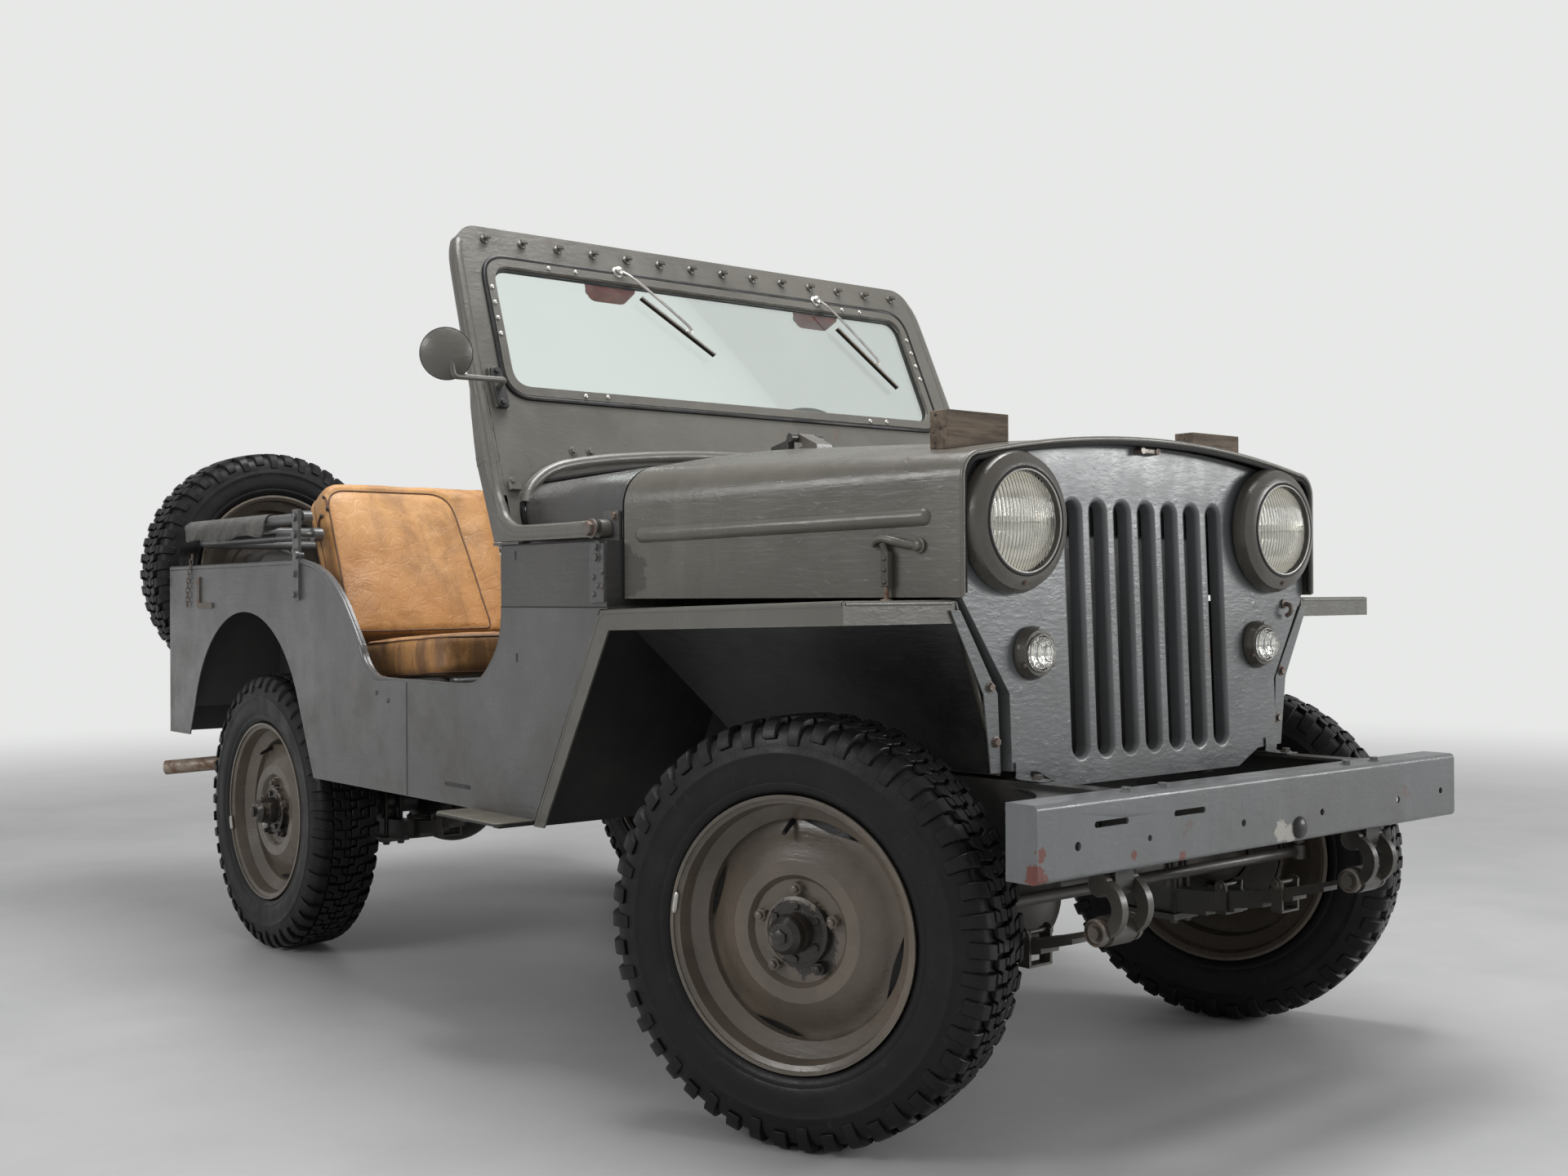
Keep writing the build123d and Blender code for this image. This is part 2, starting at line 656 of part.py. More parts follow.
# Front fenders: flat top, sloping rear leg, turned-down lip and inner apron
fender_front_y = -1390.0
fender_knee_y = -729.0
fender_foot_y = -494.0
fender_knee_z = 872.0
fender_lip = 36.0
for side, node in ((-1, "fender_right"), (1, "fender_left")):
    with BuildPart() as fender:
        # Band of sheet along the fender's side line, then trimmed to the hood line in plan
        line = ((fender_front_y, fender_front_z), (fender_knee_y, fender_knee_z), (fender_foot_y, 456))
        with BuildSketch(Plane.YZ.offset(side * 400)):
            with BuildLine():
                Polyline(
                    line[0], line[1], line[2],
                    (fender_foot_y - 4, 456),
                    (fender_knee_y - 3, fender_knee_z - 4),
                    (fender_front_y, fender_front_z - 4),
                    close=True,
                )
            make_face()
        extrude(amount=side * (body_half_width - 400))
        with BuildSketch(Plane.YZ.offset(side * (body_half_width - 4))):
            with BuildLine():
                Polyline(
                    line[0], line[1], line[2],
                    (fender_foot_y - fender_lip, 456),
                    (fender_knee_y - fender_lip * 0.7, fender_knee_z - fender_lip),
                    (fender_front_y, fender_front_z - fender_lip),
                    close=True,
                )
            make_face()
        extrude(amount=side * 4)
        with Locations((side * (body_half_width + 470) / 2, fender_front_y + 2, fender_front_z - fender_lip / 2)):
            Box(body_half_width - 470, 4, fender_lip)
        # Trim to the hood line
        with BuildSketch(Plane.XY.offset(430)):
            with BuildLine():
                Polyline(
                    (side * 380, fender_front_y - 10),
                    (side * (hood_half(fender_front_y) - 14), fender_front_y - 10),
                    (side * (hood_half(fender_knee_y - 30) - 14), fender_knee_y - 30),
                    (side * 380, fender_knee_y - 30),
                    close=True,
                )
            make_face()
        extrude(amount=500, mode=Mode.SUBTRACT)
        # Inner apron from the hood line down to the frame rail
        with BuildSketch(Plane.XZ.offset(-fender_front_y)):
            with BuildLine():
                top_x = hood_half(fender_front_y) - 12
                Polyline(
                    (side * top_x, fender_front_z - 1), (side * (top_x - 4), fender_front_z - 1),
                    (side * 381, 600), (side * 385, 600), close=True,
                )
            make_face()
        with BuildSketch(Plane.XZ.offset(-fender_knee_y)):
            with BuildLine():
                top_x = hood_half(fender_knee_y) - 12
                Polyline(
                    (side * top_x, fender_knee_z - 1), (side * (top_x - 4), fender_knee_z - 1),
                    (side * 381, 600), (side * 385, 600), close=True,
                )
            make_face()
        loft(ruled=True)
    write(fender, node)

# Hood: one pressed arch from the grille to the cowl
with BuildPart() as hood_panel:
    low_z = 893.0
    outside = (
        arch_section(hood_front_y, hood_front_half, low_z, 1128, hood_front_top_z, 42),
        arch_section(hood_rear_y, hood_rear_half, low_z, 1135, hood_rear_top_z, 75),
    )
    loft(outside, ruled=True)
    inside = (
        arch_section(hood_front_y - 1, hood_front_half - sheet, low_z - 1, 1128 - sheet, hood_front_top_z - sheet, 39),
        arch_section(hood_rear_y + 1, hood_rear_half - sheet, low_z - 1, 1135 - sheet, hood_rear_top_z - sheet, 72),
    )
    # Half-round bead along each side, from rear to front
    for side in (-1, 1):
        start, finish = [Vector(side * (hood_half(y) - bead_inset), y, z) for y, z in bead_ends]
        with BuildSketch(Plane(origin=start, z_dir=finish - start)):
            Circle(bead_radius)
        extrude(amount=(finish - start).length)
        with Locations(start, finish):
            Sphere(bead_radius)
        # Hinge strap with its middle barrel
        with BuildSketch(Plane.YZ.offset(side * hinge_x - barrel_length / 2)):
            Polygon((-806, 1184), (-806, 1193), (-756, 1215), (-752, 1203), (-762, 1196), (-762, 1184), align=None)
            with Locations((hinge_y, hinge_z)):
                Circle(barrel_radius)
                Circle(hinge_pin + 0.4, mode=Mode.SUBTRACT)
        extrude(amount=barrel_length)
    loft(inside, ruled=True, mode=Mode.SUBTRACT)
write(hood_panel, "hood_panel")

# Wooden blocks on the hood that carry the folded windscreen
with BuildPart() as hood_blocks:
    for side in (-1, 1):
        with Locations((side * 335, -1280, 1170)):
            Box(150, 42, 76)
    loft(outside, ruled=True, mode=Mode.SUBTRACT)
write(hood_blocks, "hood_blocks")

# Windscreen frame: sheet panel with a boxed border, an arch over the cowl and two side arms
screen_cos = cos(lean)
screen_top_s = (1698 - screen_base_z) / screen_cos
screen_low_s = (1010 - screen_base_z) / screen_cos
glass_top_s = (1606 - screen_base_z) / screen_cos
glass_low_s = (1337 - screen_base_z) / screen_cos
border = 44.0
# Cowl crown where the screen stands on it, grown by the gap
crown_half = 657.0 + gap
crown_round = 75.0 + gap
crown_low_s = (1055 - screen_base_z) / screen_cos
crown_mid_s = (1055 + crown_round * sin(pi / 4) - screen_base_z) / screen_cos
crown_shoulder_s = (1130 + gap - screen_base_z) / screen_cos
crown_top_s = (cowl_rear_top_z + gap - screen_base_z) / screen_cos
with BuildPart() as windscreen_frame:
    with BuildSketch(screen_plane) as screen_face:
        with BuildLine():
            Polyline(
                (-screen_low_half, screen_low_s),
                (-screen_top_half, screen_top_s),
                (screen_top_half, screen_top_s),
                (screen_low_half, screen_low_s),
                close=True,
            )
        make_face()
        fillet(screen_face.vertices().group_by(Axis.Z)[-1], radius=55)
    extrude(amount=-30)
    # Hollow behind the panel inside the border
    with BuildSketch(screen_plane.offset(-4)) as screen_hollow:
        with BuildLine():
            Polyline(
                (border - screen_low_half, screen_low_s - 20),
                (border - screen_top_half, screen_top_s - border),
                (screen_top_half - border, screen_top_s - border),
                (screen_low_half - border, screen_low_s - 20),
                close=True,
            )
        make_face()
    extrude(amount=-40, mode=Mode.SUBTRACT)
    with BuildSketch(screen_plane.offset(10)) as screen_holes:
        with BuildLine():
            Polyline((-608, glass_low_s), (-596, glass_top_s), (596, glass_top_s), (608, glass_low_s), close=True)
        make_face()
        fillet(screen_holes.vertices(), radius=38)
    extrude(amount=-60, mode=Mode.SUBTRACT)
    # Arch cut out for the cowl crown
    with BuildSketch(screen_plane.offset(10)):
        with BuildLine():
            shoulder_x = crown_half - crown_round
            mid_x = shoulder_x + crown_round * cos(pi / 4)
            Polyline((-crown_half, crown_low_s), (-crown_half - 4, screen_low_s - 20))
            Line((-crown_half - 4, screen_low_s - 20), (crown_half + 4, screen_low_s - 20))
            Line((crown_half + 4, screen_low_s - 20), (crown_half, crown_low_s))
            ThreePointArc((crown_half, crown_low_s), (mid_x, crown_mid_s), (shoulder_x, crown_shoulder_s))
            ThreePointArc((shoulder_x, crown_shoulder_s), (0, crown_top_s), (-shoulder_x, crown_shoulder_s))
            ThreePointArc((-shoulder_x, crown_shoulder_s), (-mid_x, crown_mid_s), (-crown_half, crown_low_s))
        make_face()
    extrude(amount=-60, mode=Mode.SUBTRACT)
    # Side arms running forward along the cowl to their pivots
    for side in (-1, 1):
        with BuildSketch(Plane.YZ.offset(side * arm_x)):
            with BuildLine():
                Polyline(
                    (screen_pivot_y, screen_pivot_z - 15), (-343, screen_pivot_z - 15), (-269, 1180), (-301, 1180),
                    (-335, 1100),
                )
                ThreePointArc((-335, 1100), (-366, 1054), (-430, screen_pivot_z + 13))
                Polyline(
                    (-430, screen_pivot_z + 13), (-650, screen_pivot_z + 10), (screen_pivot_y, screen_pivot_z + 17),
                    (screen_pivot_y, screen_pivot_z - 15),
                )
            make_face()
            with Locations((screen_pivot_y, screen_pivot_z)):
                Circle(17)
                Circle(arm_pin + 0.5, mode=Mode.SUBTRACT)
        extrude(amount=side * arm_width)
        with BuildSketch(screen_plane.offset(-1)):
            with Locations((side * 684, 42)):
                Rectangle(44, 80)
        extrude(amount=-26)
write(windscreen_frame, "windscreen_frame")

# Windscreen glass in its own thin frame
with BuildPart() as windscreen_glass:
    with BuildSketch(screen_plane.offset(-4)) as glass_face:
        with BuildLine():
            Polyline((-620, glass_low_s - 12), (-608, glass_top_s + 12), (608, glass_top_s + 12), (620, glass_low_s - 12), close=True)
        make_face()
        fillet(glass_face.vertices(), radius=36)
    extrude(amount=-6)
write(windscreen_glass, "windscreen_glass")

# Wipers: motors behind the screen, arms and blades in front
with BuildPart() as wipers:
    # Arm pivots on the screen plane: x, distance along the screen, reach of the arm to its blade's end
    for x, s, tip_x, tip_s in ((-275, 574, -60, 440), (344, 574, 560, 420)):
        with BuildSketch(screen_plane):
            with Locations((x, s)):
                Circle(14)
        extrude(amount=17)
        with BuildSketch(screen_plane.offset(-4)):
            with Locations((x, s + 12)):
                Circle(11)
        extrude(amount=-10)
        with BuildSketch(screen_plane.offset(9)):
            with BuildLine():
                Line((x, s), (tip_x, tip_s))
            trace(line_width=7)
        extrude(amount=8)
        with BuildSketch(screen_plane.offset(-14)):
            with Locations((x + 5, s - 14)):
                SlotOverall(110, 60)
        extrude(amount=-46)
write(wipers, "wipers")

# Mirror on a bent arm at the right side of the screen
mirror_centre = Vector(-797, -290, 1382)
mirror_face = Vector(0.47, 0.87, 0.14).normalized()
mirror_side = mirror_face.cross(Vector(0, 0, 1)).normalized()
mirror_radius = 51.0
with BuildPart() as mirror:
    with BuildLine():
        FilletPolyline((-655, -250, 1330), (-665, -290, 1340), (-785, -300, 1337), (-797, -300, 1385), radius=10)
    with BuildSketch(Plane(origin=(-655, -250, 1330), z_dir=(-10, -40, 10))):
        Circle(6)
    sweep()
    with BuildSketch(screen_plane):
        with Locations((-655, (1330 - screen_base_z) / cos(lean) - 4)):
            Rectangle(30, 90)
    extrude(amount=10)
    # Round dish with its glass to the driver
    with BuildSketch(Plane(origin=mirror_centre, x_dir=mirror_side, z_dir=mirror_side.cross(mirror_face))):
        with BuildLine():
            Line((0, 5), (0, -16))
            ThreePointArc((0, -16), (mirror_radius * 0.62, -10), (mirror_radius, 0))
            Polyline((mirror_radius, 0), (mirror_radius, 5), (0, 5))
        make_face()
    revolve(axis=Axis(mirror_centre, mirror_face))
write(mirror, "mirror")

# Seat frames of bent tube
seat_front_y = 20.0
seat_rear_y = 480.0
seat_width = 470.0
seat_centre = 405.0
seat_top_z = 815.0
with BuildPart() as seat_frames:
    for side in (-1, 1):
        for edge in (-1, 1):
            x = side * seat_centre + edge * (seat_width / 2 - 30)
            with BuildLine():
                FilletPolyline(
                    (x, seat_front_y + 40, floor_z + sheet + 4),
                    (x, seat_front_y + 10, 709),
                    (x, seat_rear_y - 10, 692),
                    (x, seat_rear_y + 190, 1110),
                    radius=45,
                )
            with BuildSketch(Plane(origin=(x, seat_front_y + 40, floor_z + sheet + 4), z_dir=(0, -30, 102))):
                Circle(13)
            sweep()
            with BuildSketch(Plane.XY.offset(floor_z + sheet)):
                with Locations((x, seat_rear_y - 60)):
                    Circle(13)
            extrude(amount=90)
        for y, z in ((seat_front_y + 18, 706), (seat_rear_y - 60, 694)):
            with BuildSketch(Plane.YZ.offset(side * seat_centre - seat_width / 2 + 30)):
                with Locations((y, z)):
                    Circle(13)
            extrude(amount=seat_width - 60)
write(seat_frames, "seat_frames")

# Seat cushions and backs as plain padded blocks
with BuildPart() as seat_cushions:
    for side in (-1, 1):
        with BuildSketch(Plane.YZ.offset(side * seat_centre - seat_width / 2)):
            with BuildLine():
                Polyline(
                    (seat_front_y, 724),
                    (seat_front_y, 812),
                    (seat_front_y + 40, 828),
                    (seat_rear_y - 30, 800),
                    (seat_rear_y - 30, 707.5),
                    close=True,
                )
            make_face()
        extrude(amount=seat_width)
write(seat_cushions, "seat_cushions")

with BuildPart() as seat_backs:
    for side in (-1, 1):
        with BuildSketch(Plane.YZ.offset(side * seat_centre - seat_width / 2 - 5)):
            with BuildLine():
                Polyline(
                    (seat_rear_y - 12, 800),
                    (seat_rear_y + 150, 1155),
                    (seat_rear_y + 180, 1184),
                    (seat_rear_y + 240, 1182),
                    (seat_rear_y + 262, 1150),
                    (seat_rear_y + 128, 830),
                    (seat_rear_y + 60, 780),
                    close=True,
                )
            make_face()
        extrude(amount=seat_width + 10)
        # Grooves where the frame tubes run up the back
        for edge in (-1, 1):
            x = side * seat_centre + edge * (seat_width / 2 - 30)
            with BuildLine():
                Line((x, seat_rear_y - 10, 692), (x, seat_rear_y + 191, 1112))
            with BuildSketch(Plane(origin=(x, seat_rear_y - 10, 692), z_dir=(0, 201, 420))):
                Circle(14)
            sweep(mode=Mode.SUBTRACT)
write(seat_backs, "seat_backs")

# Fuel tank under the left seat
with BuildPart() as fuel_tank:
    with Locations((seat_centre, 250, floor_z + sheet + 40)):
        Box(340, 300, 80)
    fillet(fuel_tank.edges().filter_by(Axis.Z), radius=30)
write(fuel_tank, "fuel_tank")

# Steering column, steering wheel and controls
with BuildPart() as steering_column:
    with BuildSketch(Plane(origin=column_foot, z_dir=column_dir)):
        Circle(19)
    extrude(amount=column_length - wheel_hub_depth - gap)
    # Steering box at the column's foot, on the left frame rail
    with Locations((320, column_foot.Y - 4, rail_top_z + 54)):
        Cylinder(46, 90, rotation=(0, 90, 0))
    with Locations((353, column_foot.Y - 4, rail_top_z + 6)):
        Box(36, 90, 12)
write(steering_column, "steering_column")

with BuildPart() as steering_wheel:
    with BuildSketch(Plane(origin=wheel_centre, x_dir=(1, 0, 0), z_dir=column_dir)):
        Circle(32)
    extrude(amount=-wheel_hub_depth)
    with BuildSketch(Plane(origin=wheel_centre, x_dir=(1, 0, 0), z_dir=column_dir)):
        for angle in (90, 210, 330):
            with Locations(Rot(0, 0, angle) * Pos(105, 0)):
                Rectangle(190, 12)
    extrude(amount=-10)
    rim_plane = Plane(origin=wheel_centre, x_dir=(1, 0, 0), z_dir=column_dir)
    with BuildSketch(Plane(origin=rim_plane.origin + rim_plane.x_dir * 203, x_dir=rim_plane.x_dir, z_dir=rim_plane.y_dir)):
        Circle(11)
    revolve(axis=Axis(wheel_centre, column_dir))
write(steering_wheel, "steering_wheel")

with BuildPart() as controls:
    # Levers on the tunnel: x, y of the foot, lean back, height
    for x, y, back, height in ((0, -330, 90, 230), (-80, -250, 40, 150), (-118, -250, 40, 140)):
        foot_z = 680 + (-170 - y) * 40 / 390
        run = Vector(0, back, height)
        with BuildSketch(Plane(origin=(x, y, foot_z), z_dir=(0, 40, 390))):
            Circle(16)
        extrude(amount=12)
        with BuildSketch(Plane(origin=(x, y, foot_z + 5), z_dir=run)):
            Circle(8)
        extrude(amount=run.length)
        with Locations((x, y + back, foot_z + height + 3)):
            Sphere(17)
    # Clutch, brake and accelerator pedals
    for x in (240, 420, 500):
        with Locations((x, -545, 745)):
            Box(60, 10, 70)
        with Locations((x, -583, 745)):
            Box(12, 72, 12)
write(controls, "controls")

# Body brackets: top bow sockets, spare wheel carrier and windscreen pivot plates
spare_x = -400.0
spare_y = 1571.0
spare_z = 976.0
bow_pivot_y = 588.0
bow_pivot_z = 1092.0
lower_bow_pivot_z = 1051.0
bow_half = 706.0
lower_bow_half = 678.0
bow_bolt = 6.0
with BuildPart() as body_brackets:
    for side in (-1, 1):
        # Bow socket bar on the outside of the tub, with the bolts that the bows turn on
        with Locations((side * (body_half_width + 4), bow_pivot_y, 1002)):
            Box(8, 34, 220)
        for pivot_z, half in ((bow_pivot_z, bow_half), (lower_bow_pivot_z, lower_bow_half)):
            for start, end, radius in ((half - 17, body_half_width + 8, bow_bolt), (body_half_width + 8, body_half_width + 15, 10)):
                with BuildSketch(Plane.YZ.offset(side * start)):
                    with Locations((bow_pivot_y, pivot_z)):
                        Circle(radius)
                extrude(amount=side * (end - start))
        # Windscreen pivot: a plate on the outside of the cowl, an ear on its shelf and the bolt through the arm
        with Locations((side * (body_half_width + 3), -726, 940)):
            Box(6, 46, 106)
        with Locations((side * 695, -724, 1026)):
            Box(5, 48, 54)
        for start, length, radius in ((697, 36, arm_pin), (727, 8, 12)):
            with BuildSketch(Plane.YZ.offset(side * start)):
                with Locations((screen_pivot_y, screen_pivot_z)):
                    Circle(radius)
            extrude(amount=side * length)
    # Carrier plate and studs for the spare wheel
    with BuildSketch(Plane.XZ.offset(-tub_rear_y)):
        with Locations((spare_x, spare_z - 60)):
            Rectangle(200, 100)
    extrude(amount=-10)
    with BuildSketch(Plane.XZ.offset(-tub_rear_y - 12)):
        with Locations((spare_x, spare_z)):
            Circle(62)
    extrude(amount=12 + tub_rear_y - spare_y - 30)
    with BuildSketch(Plane.XZ.offset(-tub_rear_y)):
        with Locations((spare_x, spare_z - 40)):
            Rectangle(124, 80)
    extrude(amount=-26)
write(body_brackets, "body_brackets")

# Top bows folded to the rear, and the canvas flap that lies on them
bow_rear_y = 1450.0
bow_tube = 13.0
for node, pivot_z, half, rear_y in (
    ("top_bow_upper", bow_pivot_z, bow_half, bow_rear_y),
    ("top_bow_lower", lower_bow_pivot_z, lower_bow_half, bow_rear_y - 40),
):
    with BuildPart() as bow:
        with BuildLine():
            FilletPolyline(
                (-half, bow_pivot_y, pivot_z),
                (-half, rear_y, pivot_z),
                (half, rear_y, pivot_z),
                (half, bow_pivot_y, pivot_z),
                radius=110,
            )
        with BuildSketch(Plane.XZ.offset(-bow_pivot_y)):
            with Locations((-half, pivot_z)):
                Circle(bow_tube)
        sweep()
        # Flattened eyes round the pivot bolts
        for side in (-1, 1):
            with BuildSketch(Plane.YZ.offset(side * (half - 11))):
                with Locations((bow_pivot_y, pivot_z)):
                    Circle(17)
            extrude(amount=side * 22)
            with BuildSketch(Plane.YZ.offset(side * (half - 20))):
                with Locations((bow_pivot_y, pivot_z)):
                    Circle(bow_bolt + 0.5)
            extrude(amount=side * 40, mode=Mode.SUBTRACT)
    write(bow, node)

# Canvas flap that hangs over the right leg of the upper bow
flap_gauge = 6.0
flap_low_z = 1050.0
flap_inner_z = 1070.0
with BuildPart() as canvas_flap:
    with BuildSketch(Plane.XZ.offset(-790)):
        with Locations((-bow_half, 0)):
            Polygon(
                (-20 - flap_gauge, flap_low_z), (-20 - flap_gauge, 1087), (-11, 1105.4 + flap_gauge),
                (11, 1105.4 + flap_gauge), (20 + flap_gauge, 1087), (20 + flap_gauge, flap_inner_z), (20, flap_inner_z),
                (20, 1085), (8, 1105.4), (-8, 1105.4), (-20, 1085), (-20, flap_low_z), align=None,
            )
    extrude(amount=-545)
write(canvas_flap, "canvas_flap")

# Wheels: rim, disc, brake drum and hub as one revolved piece, with nuts
disc_gauge = 4.0
wheel_nuts = 5
nut_circle = 69.85


def wheel_profile(plane, with_hub):
    """Half section of a wheel: radius against distance outboard of the tyre's centre."""
    with BuildSketch(plane) as section:
        with BuildLine():
            if with_hub:
                Polyline((0, 104), (22, 100), (30, 90), (31, 52), (56, 50), (56, 38), (84, 38))
            else:
                Polyline((30, 38), (84, 38))
            Polyline(
                (84, 38), (92, 48), (116, 50), (140, 36), (166, 18), (181, 14), (182, 26), (206, 44), (211, 70),
                (219, 74), (219, 78), (225, 78), (225, 72), (216, 66), (211, 40), (188, 22), (187, -30),
                (211, -48), (216, -72), (225, -74), (225, -78), (219, -78), (211, -72), (207, -50), (183, -32),
                (181, 8), (166, 12), (138, 30), (114, 44), (94, 42),
            )
            if with_hub:
                Polyline((94, 42), (90, 32), (126, 30), (130, 24), (130, -46), (124, -46), (124, 20), (0, 20), (0, 104))
            else:
                Polyline((94, 42), (87, 34), (30, 34), (30, 38))
        make_face()
    return section.sketch


def tyre_profile(plane):
    """Half section of a tyre, radius against distance from its centre plane."""
    w = tyre_half_width
    with BuildSketch(plane) as section:
        with BuildLine():
            Polyline(
                (228, 77), (228, 70), (218, 64), (213, 46), (213, -46), (218, -64), (228, -70), (228, -77),
                (240, -80), (270, -w), (300, -w + 2), (325, -76), (tread_r - 5, -64), (tread_r, -50), (tread_r, 50),
                (tread_r - 5, 64), (325, 76), (300, w - 2), (270, w), (240, 80), close=True,
            )
        make_face()
    return section.sketch


# Tyre at the origin with its axle along Z: the revolved carcass and two staggered rows of lugs
with BuildPart() as lug:
    lug_top = (tyre_radius**2 - (lug_length / 2) ** 2) ** 0.5
    with BuildSketch(Plane.XZ.offset(-lug_length / 2)):
        Polygon(
            (tread_r - 5, 4), (lug_top, 4), (lug_top, 56), (lug_top - 6, 69), (tyre_radius - 32, 83),
            (tyre_radius - 38, 74), (tread_r - 5, 58), align=None,
        )
    extrude(amount=lug_length)
with BuildPart() as tyre_form:
    revolve(tyre_profile(Plane.XZ), axis=Axis.Z)
    with PolarLocations(0, lug_count):
        add(lug.part)
    with PolarLocations(0, lug_count, start_angle=180 / lug_count):
        add(lug.part.mirror(Plane.XY))


for side, side_name in ((-1, "right"), (1, "left")):
    for front, end_name in ((True, "front"), (False, "rear")):
        place = wheel_place(side, front)
        section = Plane(origin=place.origin, x_dir=(0, 0, 1), z_dir=place.z_dir.cross(Vector(0, 0, 1)) * -1)
        spin = Axis(place.origin, place.z_dir)
        with BuildPart() as wheel:
            revolve(wheel_profile(section, True), axis=spin)
            with BuildSketch(place.offset(36)):
                with PolarLocations(nut_circle, wheel_nuts):
                    RegularPolygon(11, 6)
            extrude(amount=16)
        write(wheel, f"wheel_{end_name}_{side_name}")
        with BuildPart() as tyre:
            with Locations(place):
                add(tyre_form.part)
        write(tyre, f"tyre_{end_name}_{side_name}")

spare_place = Plane(origin=(spare_x, spare_y, spare_z), x_dir=(0, 0, 1), z_dir=(0, 1, 0))
spare_section = Plane(origin=spare_place.origin, x_dir=(0, 0, 1), z_dir=spare_place.z_dir.cross(Vector(0, 0, 1)) * -1)
spare_axis = Axis(spare_place.origin, spare_place.z_dir)
with BuildPart() as spare_wheel:
    revolve(wheel_profile(spare_section, False), axis=spare_axis)
write(spare_wheel, "spare_wheel")
with BuildPart() as spare_tyre:
    with Locations(spare_place):
        add(tyre_form.part)
write(spare_tyre, "spare_tyre")

# Steering knuckles: cups over the axle's balls, kingpin caps, backing plates, spindles and arms
arm_reach = 165.0
arm_z = hub_z + 33.0
joint_radius = 8.0


def knuckle_profile(plane):
    """Half section of a knuckle about the spindle: radius against distance outboard of the kingpin."""
    inner = ball_radius + 4
    start = 4.0
    edge = (inner**2 - start**2) ** 0.5
    with BuildSketch(plane) as section:
        with BuildLine():
            Polyline(
                (edge, start), (74, start), (74, 20), (122, 20), (122, 24), (76, 24), (60, 50), (38, 68), (38, 85),
                (0, 85), (0, inner),
            )
            ThreePointArc((0, inner), (inner * sin(pi / 4), inner * cos(pi / 4)), (edge, start))
        make_face()
    return section.sketch


def arm_end(side):
    """Centre of the tie rod joint on a knuckle's arm, as it stands at rest."""
    turn = radians(steer_at_rest)
    return Vector(side * kingpin_x + arm_reach * sin(turn), front_axle_y - arm_reach * cos(turn), arm_z)


for side, node in ((-1, "knuckle_right"), (1, "knuckle_left")):
    out = wheel_place(side, True).z_dir
    centre = Vector(side * kingpin_x, front_axle_y, hub_z)
    tip = arm_end(side)
    ahead = (tip - centre - Vector(0, 0, arm_z - hub_z)).normalized()
    with BuildPart() as knuckle:
        section = Plane(origin=centre, x_dir=(0, 0, 1), z_dir=out.cross(Vector(0, 0, 1)) * -1)
        revolve(knuckle_profile(section), axis=Axis(centre, out))
        for z in (hub_z + ball_radius + 5, hub_z - ball_radius - 5 - 26):
            with BuildSketch(Plane.XY.offset(z)):
                with Locations((centre.X, centre.Y)):
                    Circle(24)
            extrude(amount=26)
        # Arm ahead of the axle, with the tie rod's pin under its end
        with BuildSketch(Plane(origin=(centre.X, centre.Y, arm_z), x_dir=ahead, z_dir=(0, 0, 1))):
            with Locations(((66 + arm_reach) / 2, side * 6)):
                Rectangle(arm_reach - 66, 24)
            with Locations((arm_reach, 0)):
                Circle(14)
        extrude(amount=18)
        with BuildSketch(Plane.XY.offset(arm_z - 34)):
            with Locations((tip.X, tip.Y)):
                Circle(joint_radius)
        extrude(amount=36)
    write(knuckle, node)

# Tie rod between the two arms
with BuildPart() as tie_rod:
    left = arm_end(1)
    with BuildSketch(Plane.YZ.offset(arm_end(-1).X)):
        with Locations((left.Y, arm_z - 18)):
            Circle(11)
    extrude(amount=2 * kingpin_x)
    for side in (-1, 1):
        with BuildSketch(Plane.XY.offset(arm_z - 32)):
            with Locations((arm_end(side).X, left.Y)):
                Circle(17)
        extrude(amount=28)
    for side in (-1, 1):
        with BuildSketch(Plane.XY.offset(arm_z - 40)):
            with Locations((arm_end(side).X, left.Y)):
                Circle(joint_radius + 0.05)
        extrude(amount=60, mode=Mode.SUBTRACT)
write(tie_rod, "tie_rod")
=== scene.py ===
import math

import bmesh
import bpy
from mathutils import Matrix, Vector, noise
from mathutils.bvhtree import BVHTree
from mathutils.kdtree import KDTree


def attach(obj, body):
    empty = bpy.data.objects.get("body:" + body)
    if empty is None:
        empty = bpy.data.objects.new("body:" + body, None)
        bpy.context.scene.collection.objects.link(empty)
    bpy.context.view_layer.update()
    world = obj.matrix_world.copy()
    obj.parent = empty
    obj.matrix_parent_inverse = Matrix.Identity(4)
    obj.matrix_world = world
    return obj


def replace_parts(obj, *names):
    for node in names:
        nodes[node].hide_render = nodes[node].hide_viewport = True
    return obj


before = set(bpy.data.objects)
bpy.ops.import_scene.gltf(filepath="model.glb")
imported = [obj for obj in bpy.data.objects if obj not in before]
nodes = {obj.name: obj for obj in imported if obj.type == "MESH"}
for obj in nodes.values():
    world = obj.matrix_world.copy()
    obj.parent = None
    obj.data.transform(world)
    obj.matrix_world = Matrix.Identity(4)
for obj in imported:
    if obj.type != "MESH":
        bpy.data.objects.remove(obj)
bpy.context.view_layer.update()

# Places that repeat the frame's own sizes, in metres
HUB_Z = 0.351
FRONT_AXLE_Y = -1.150
REAR_AXLE_Y = 0.882
KINGPIN_X = 0.541
TRACK = 1.231
STEER_AT_REST = math.radians(21)
TYRE_RADIUS = 0.351
BODY_HALF = 0.725
SCREEN_ORIGIN = Vector((0, -0.335, 1.100))
SCREEN_LEAN = math.atan(0.422)
SCREEN_UP = Vector((0, math.sin(SCREEN_LEAN), math.cos(SCREEN_LEAN)))
SCREEN_OUT = Vector((0, -math.cos(SCREEN_LEAN), math.sin(SCREEN_LEAN)))
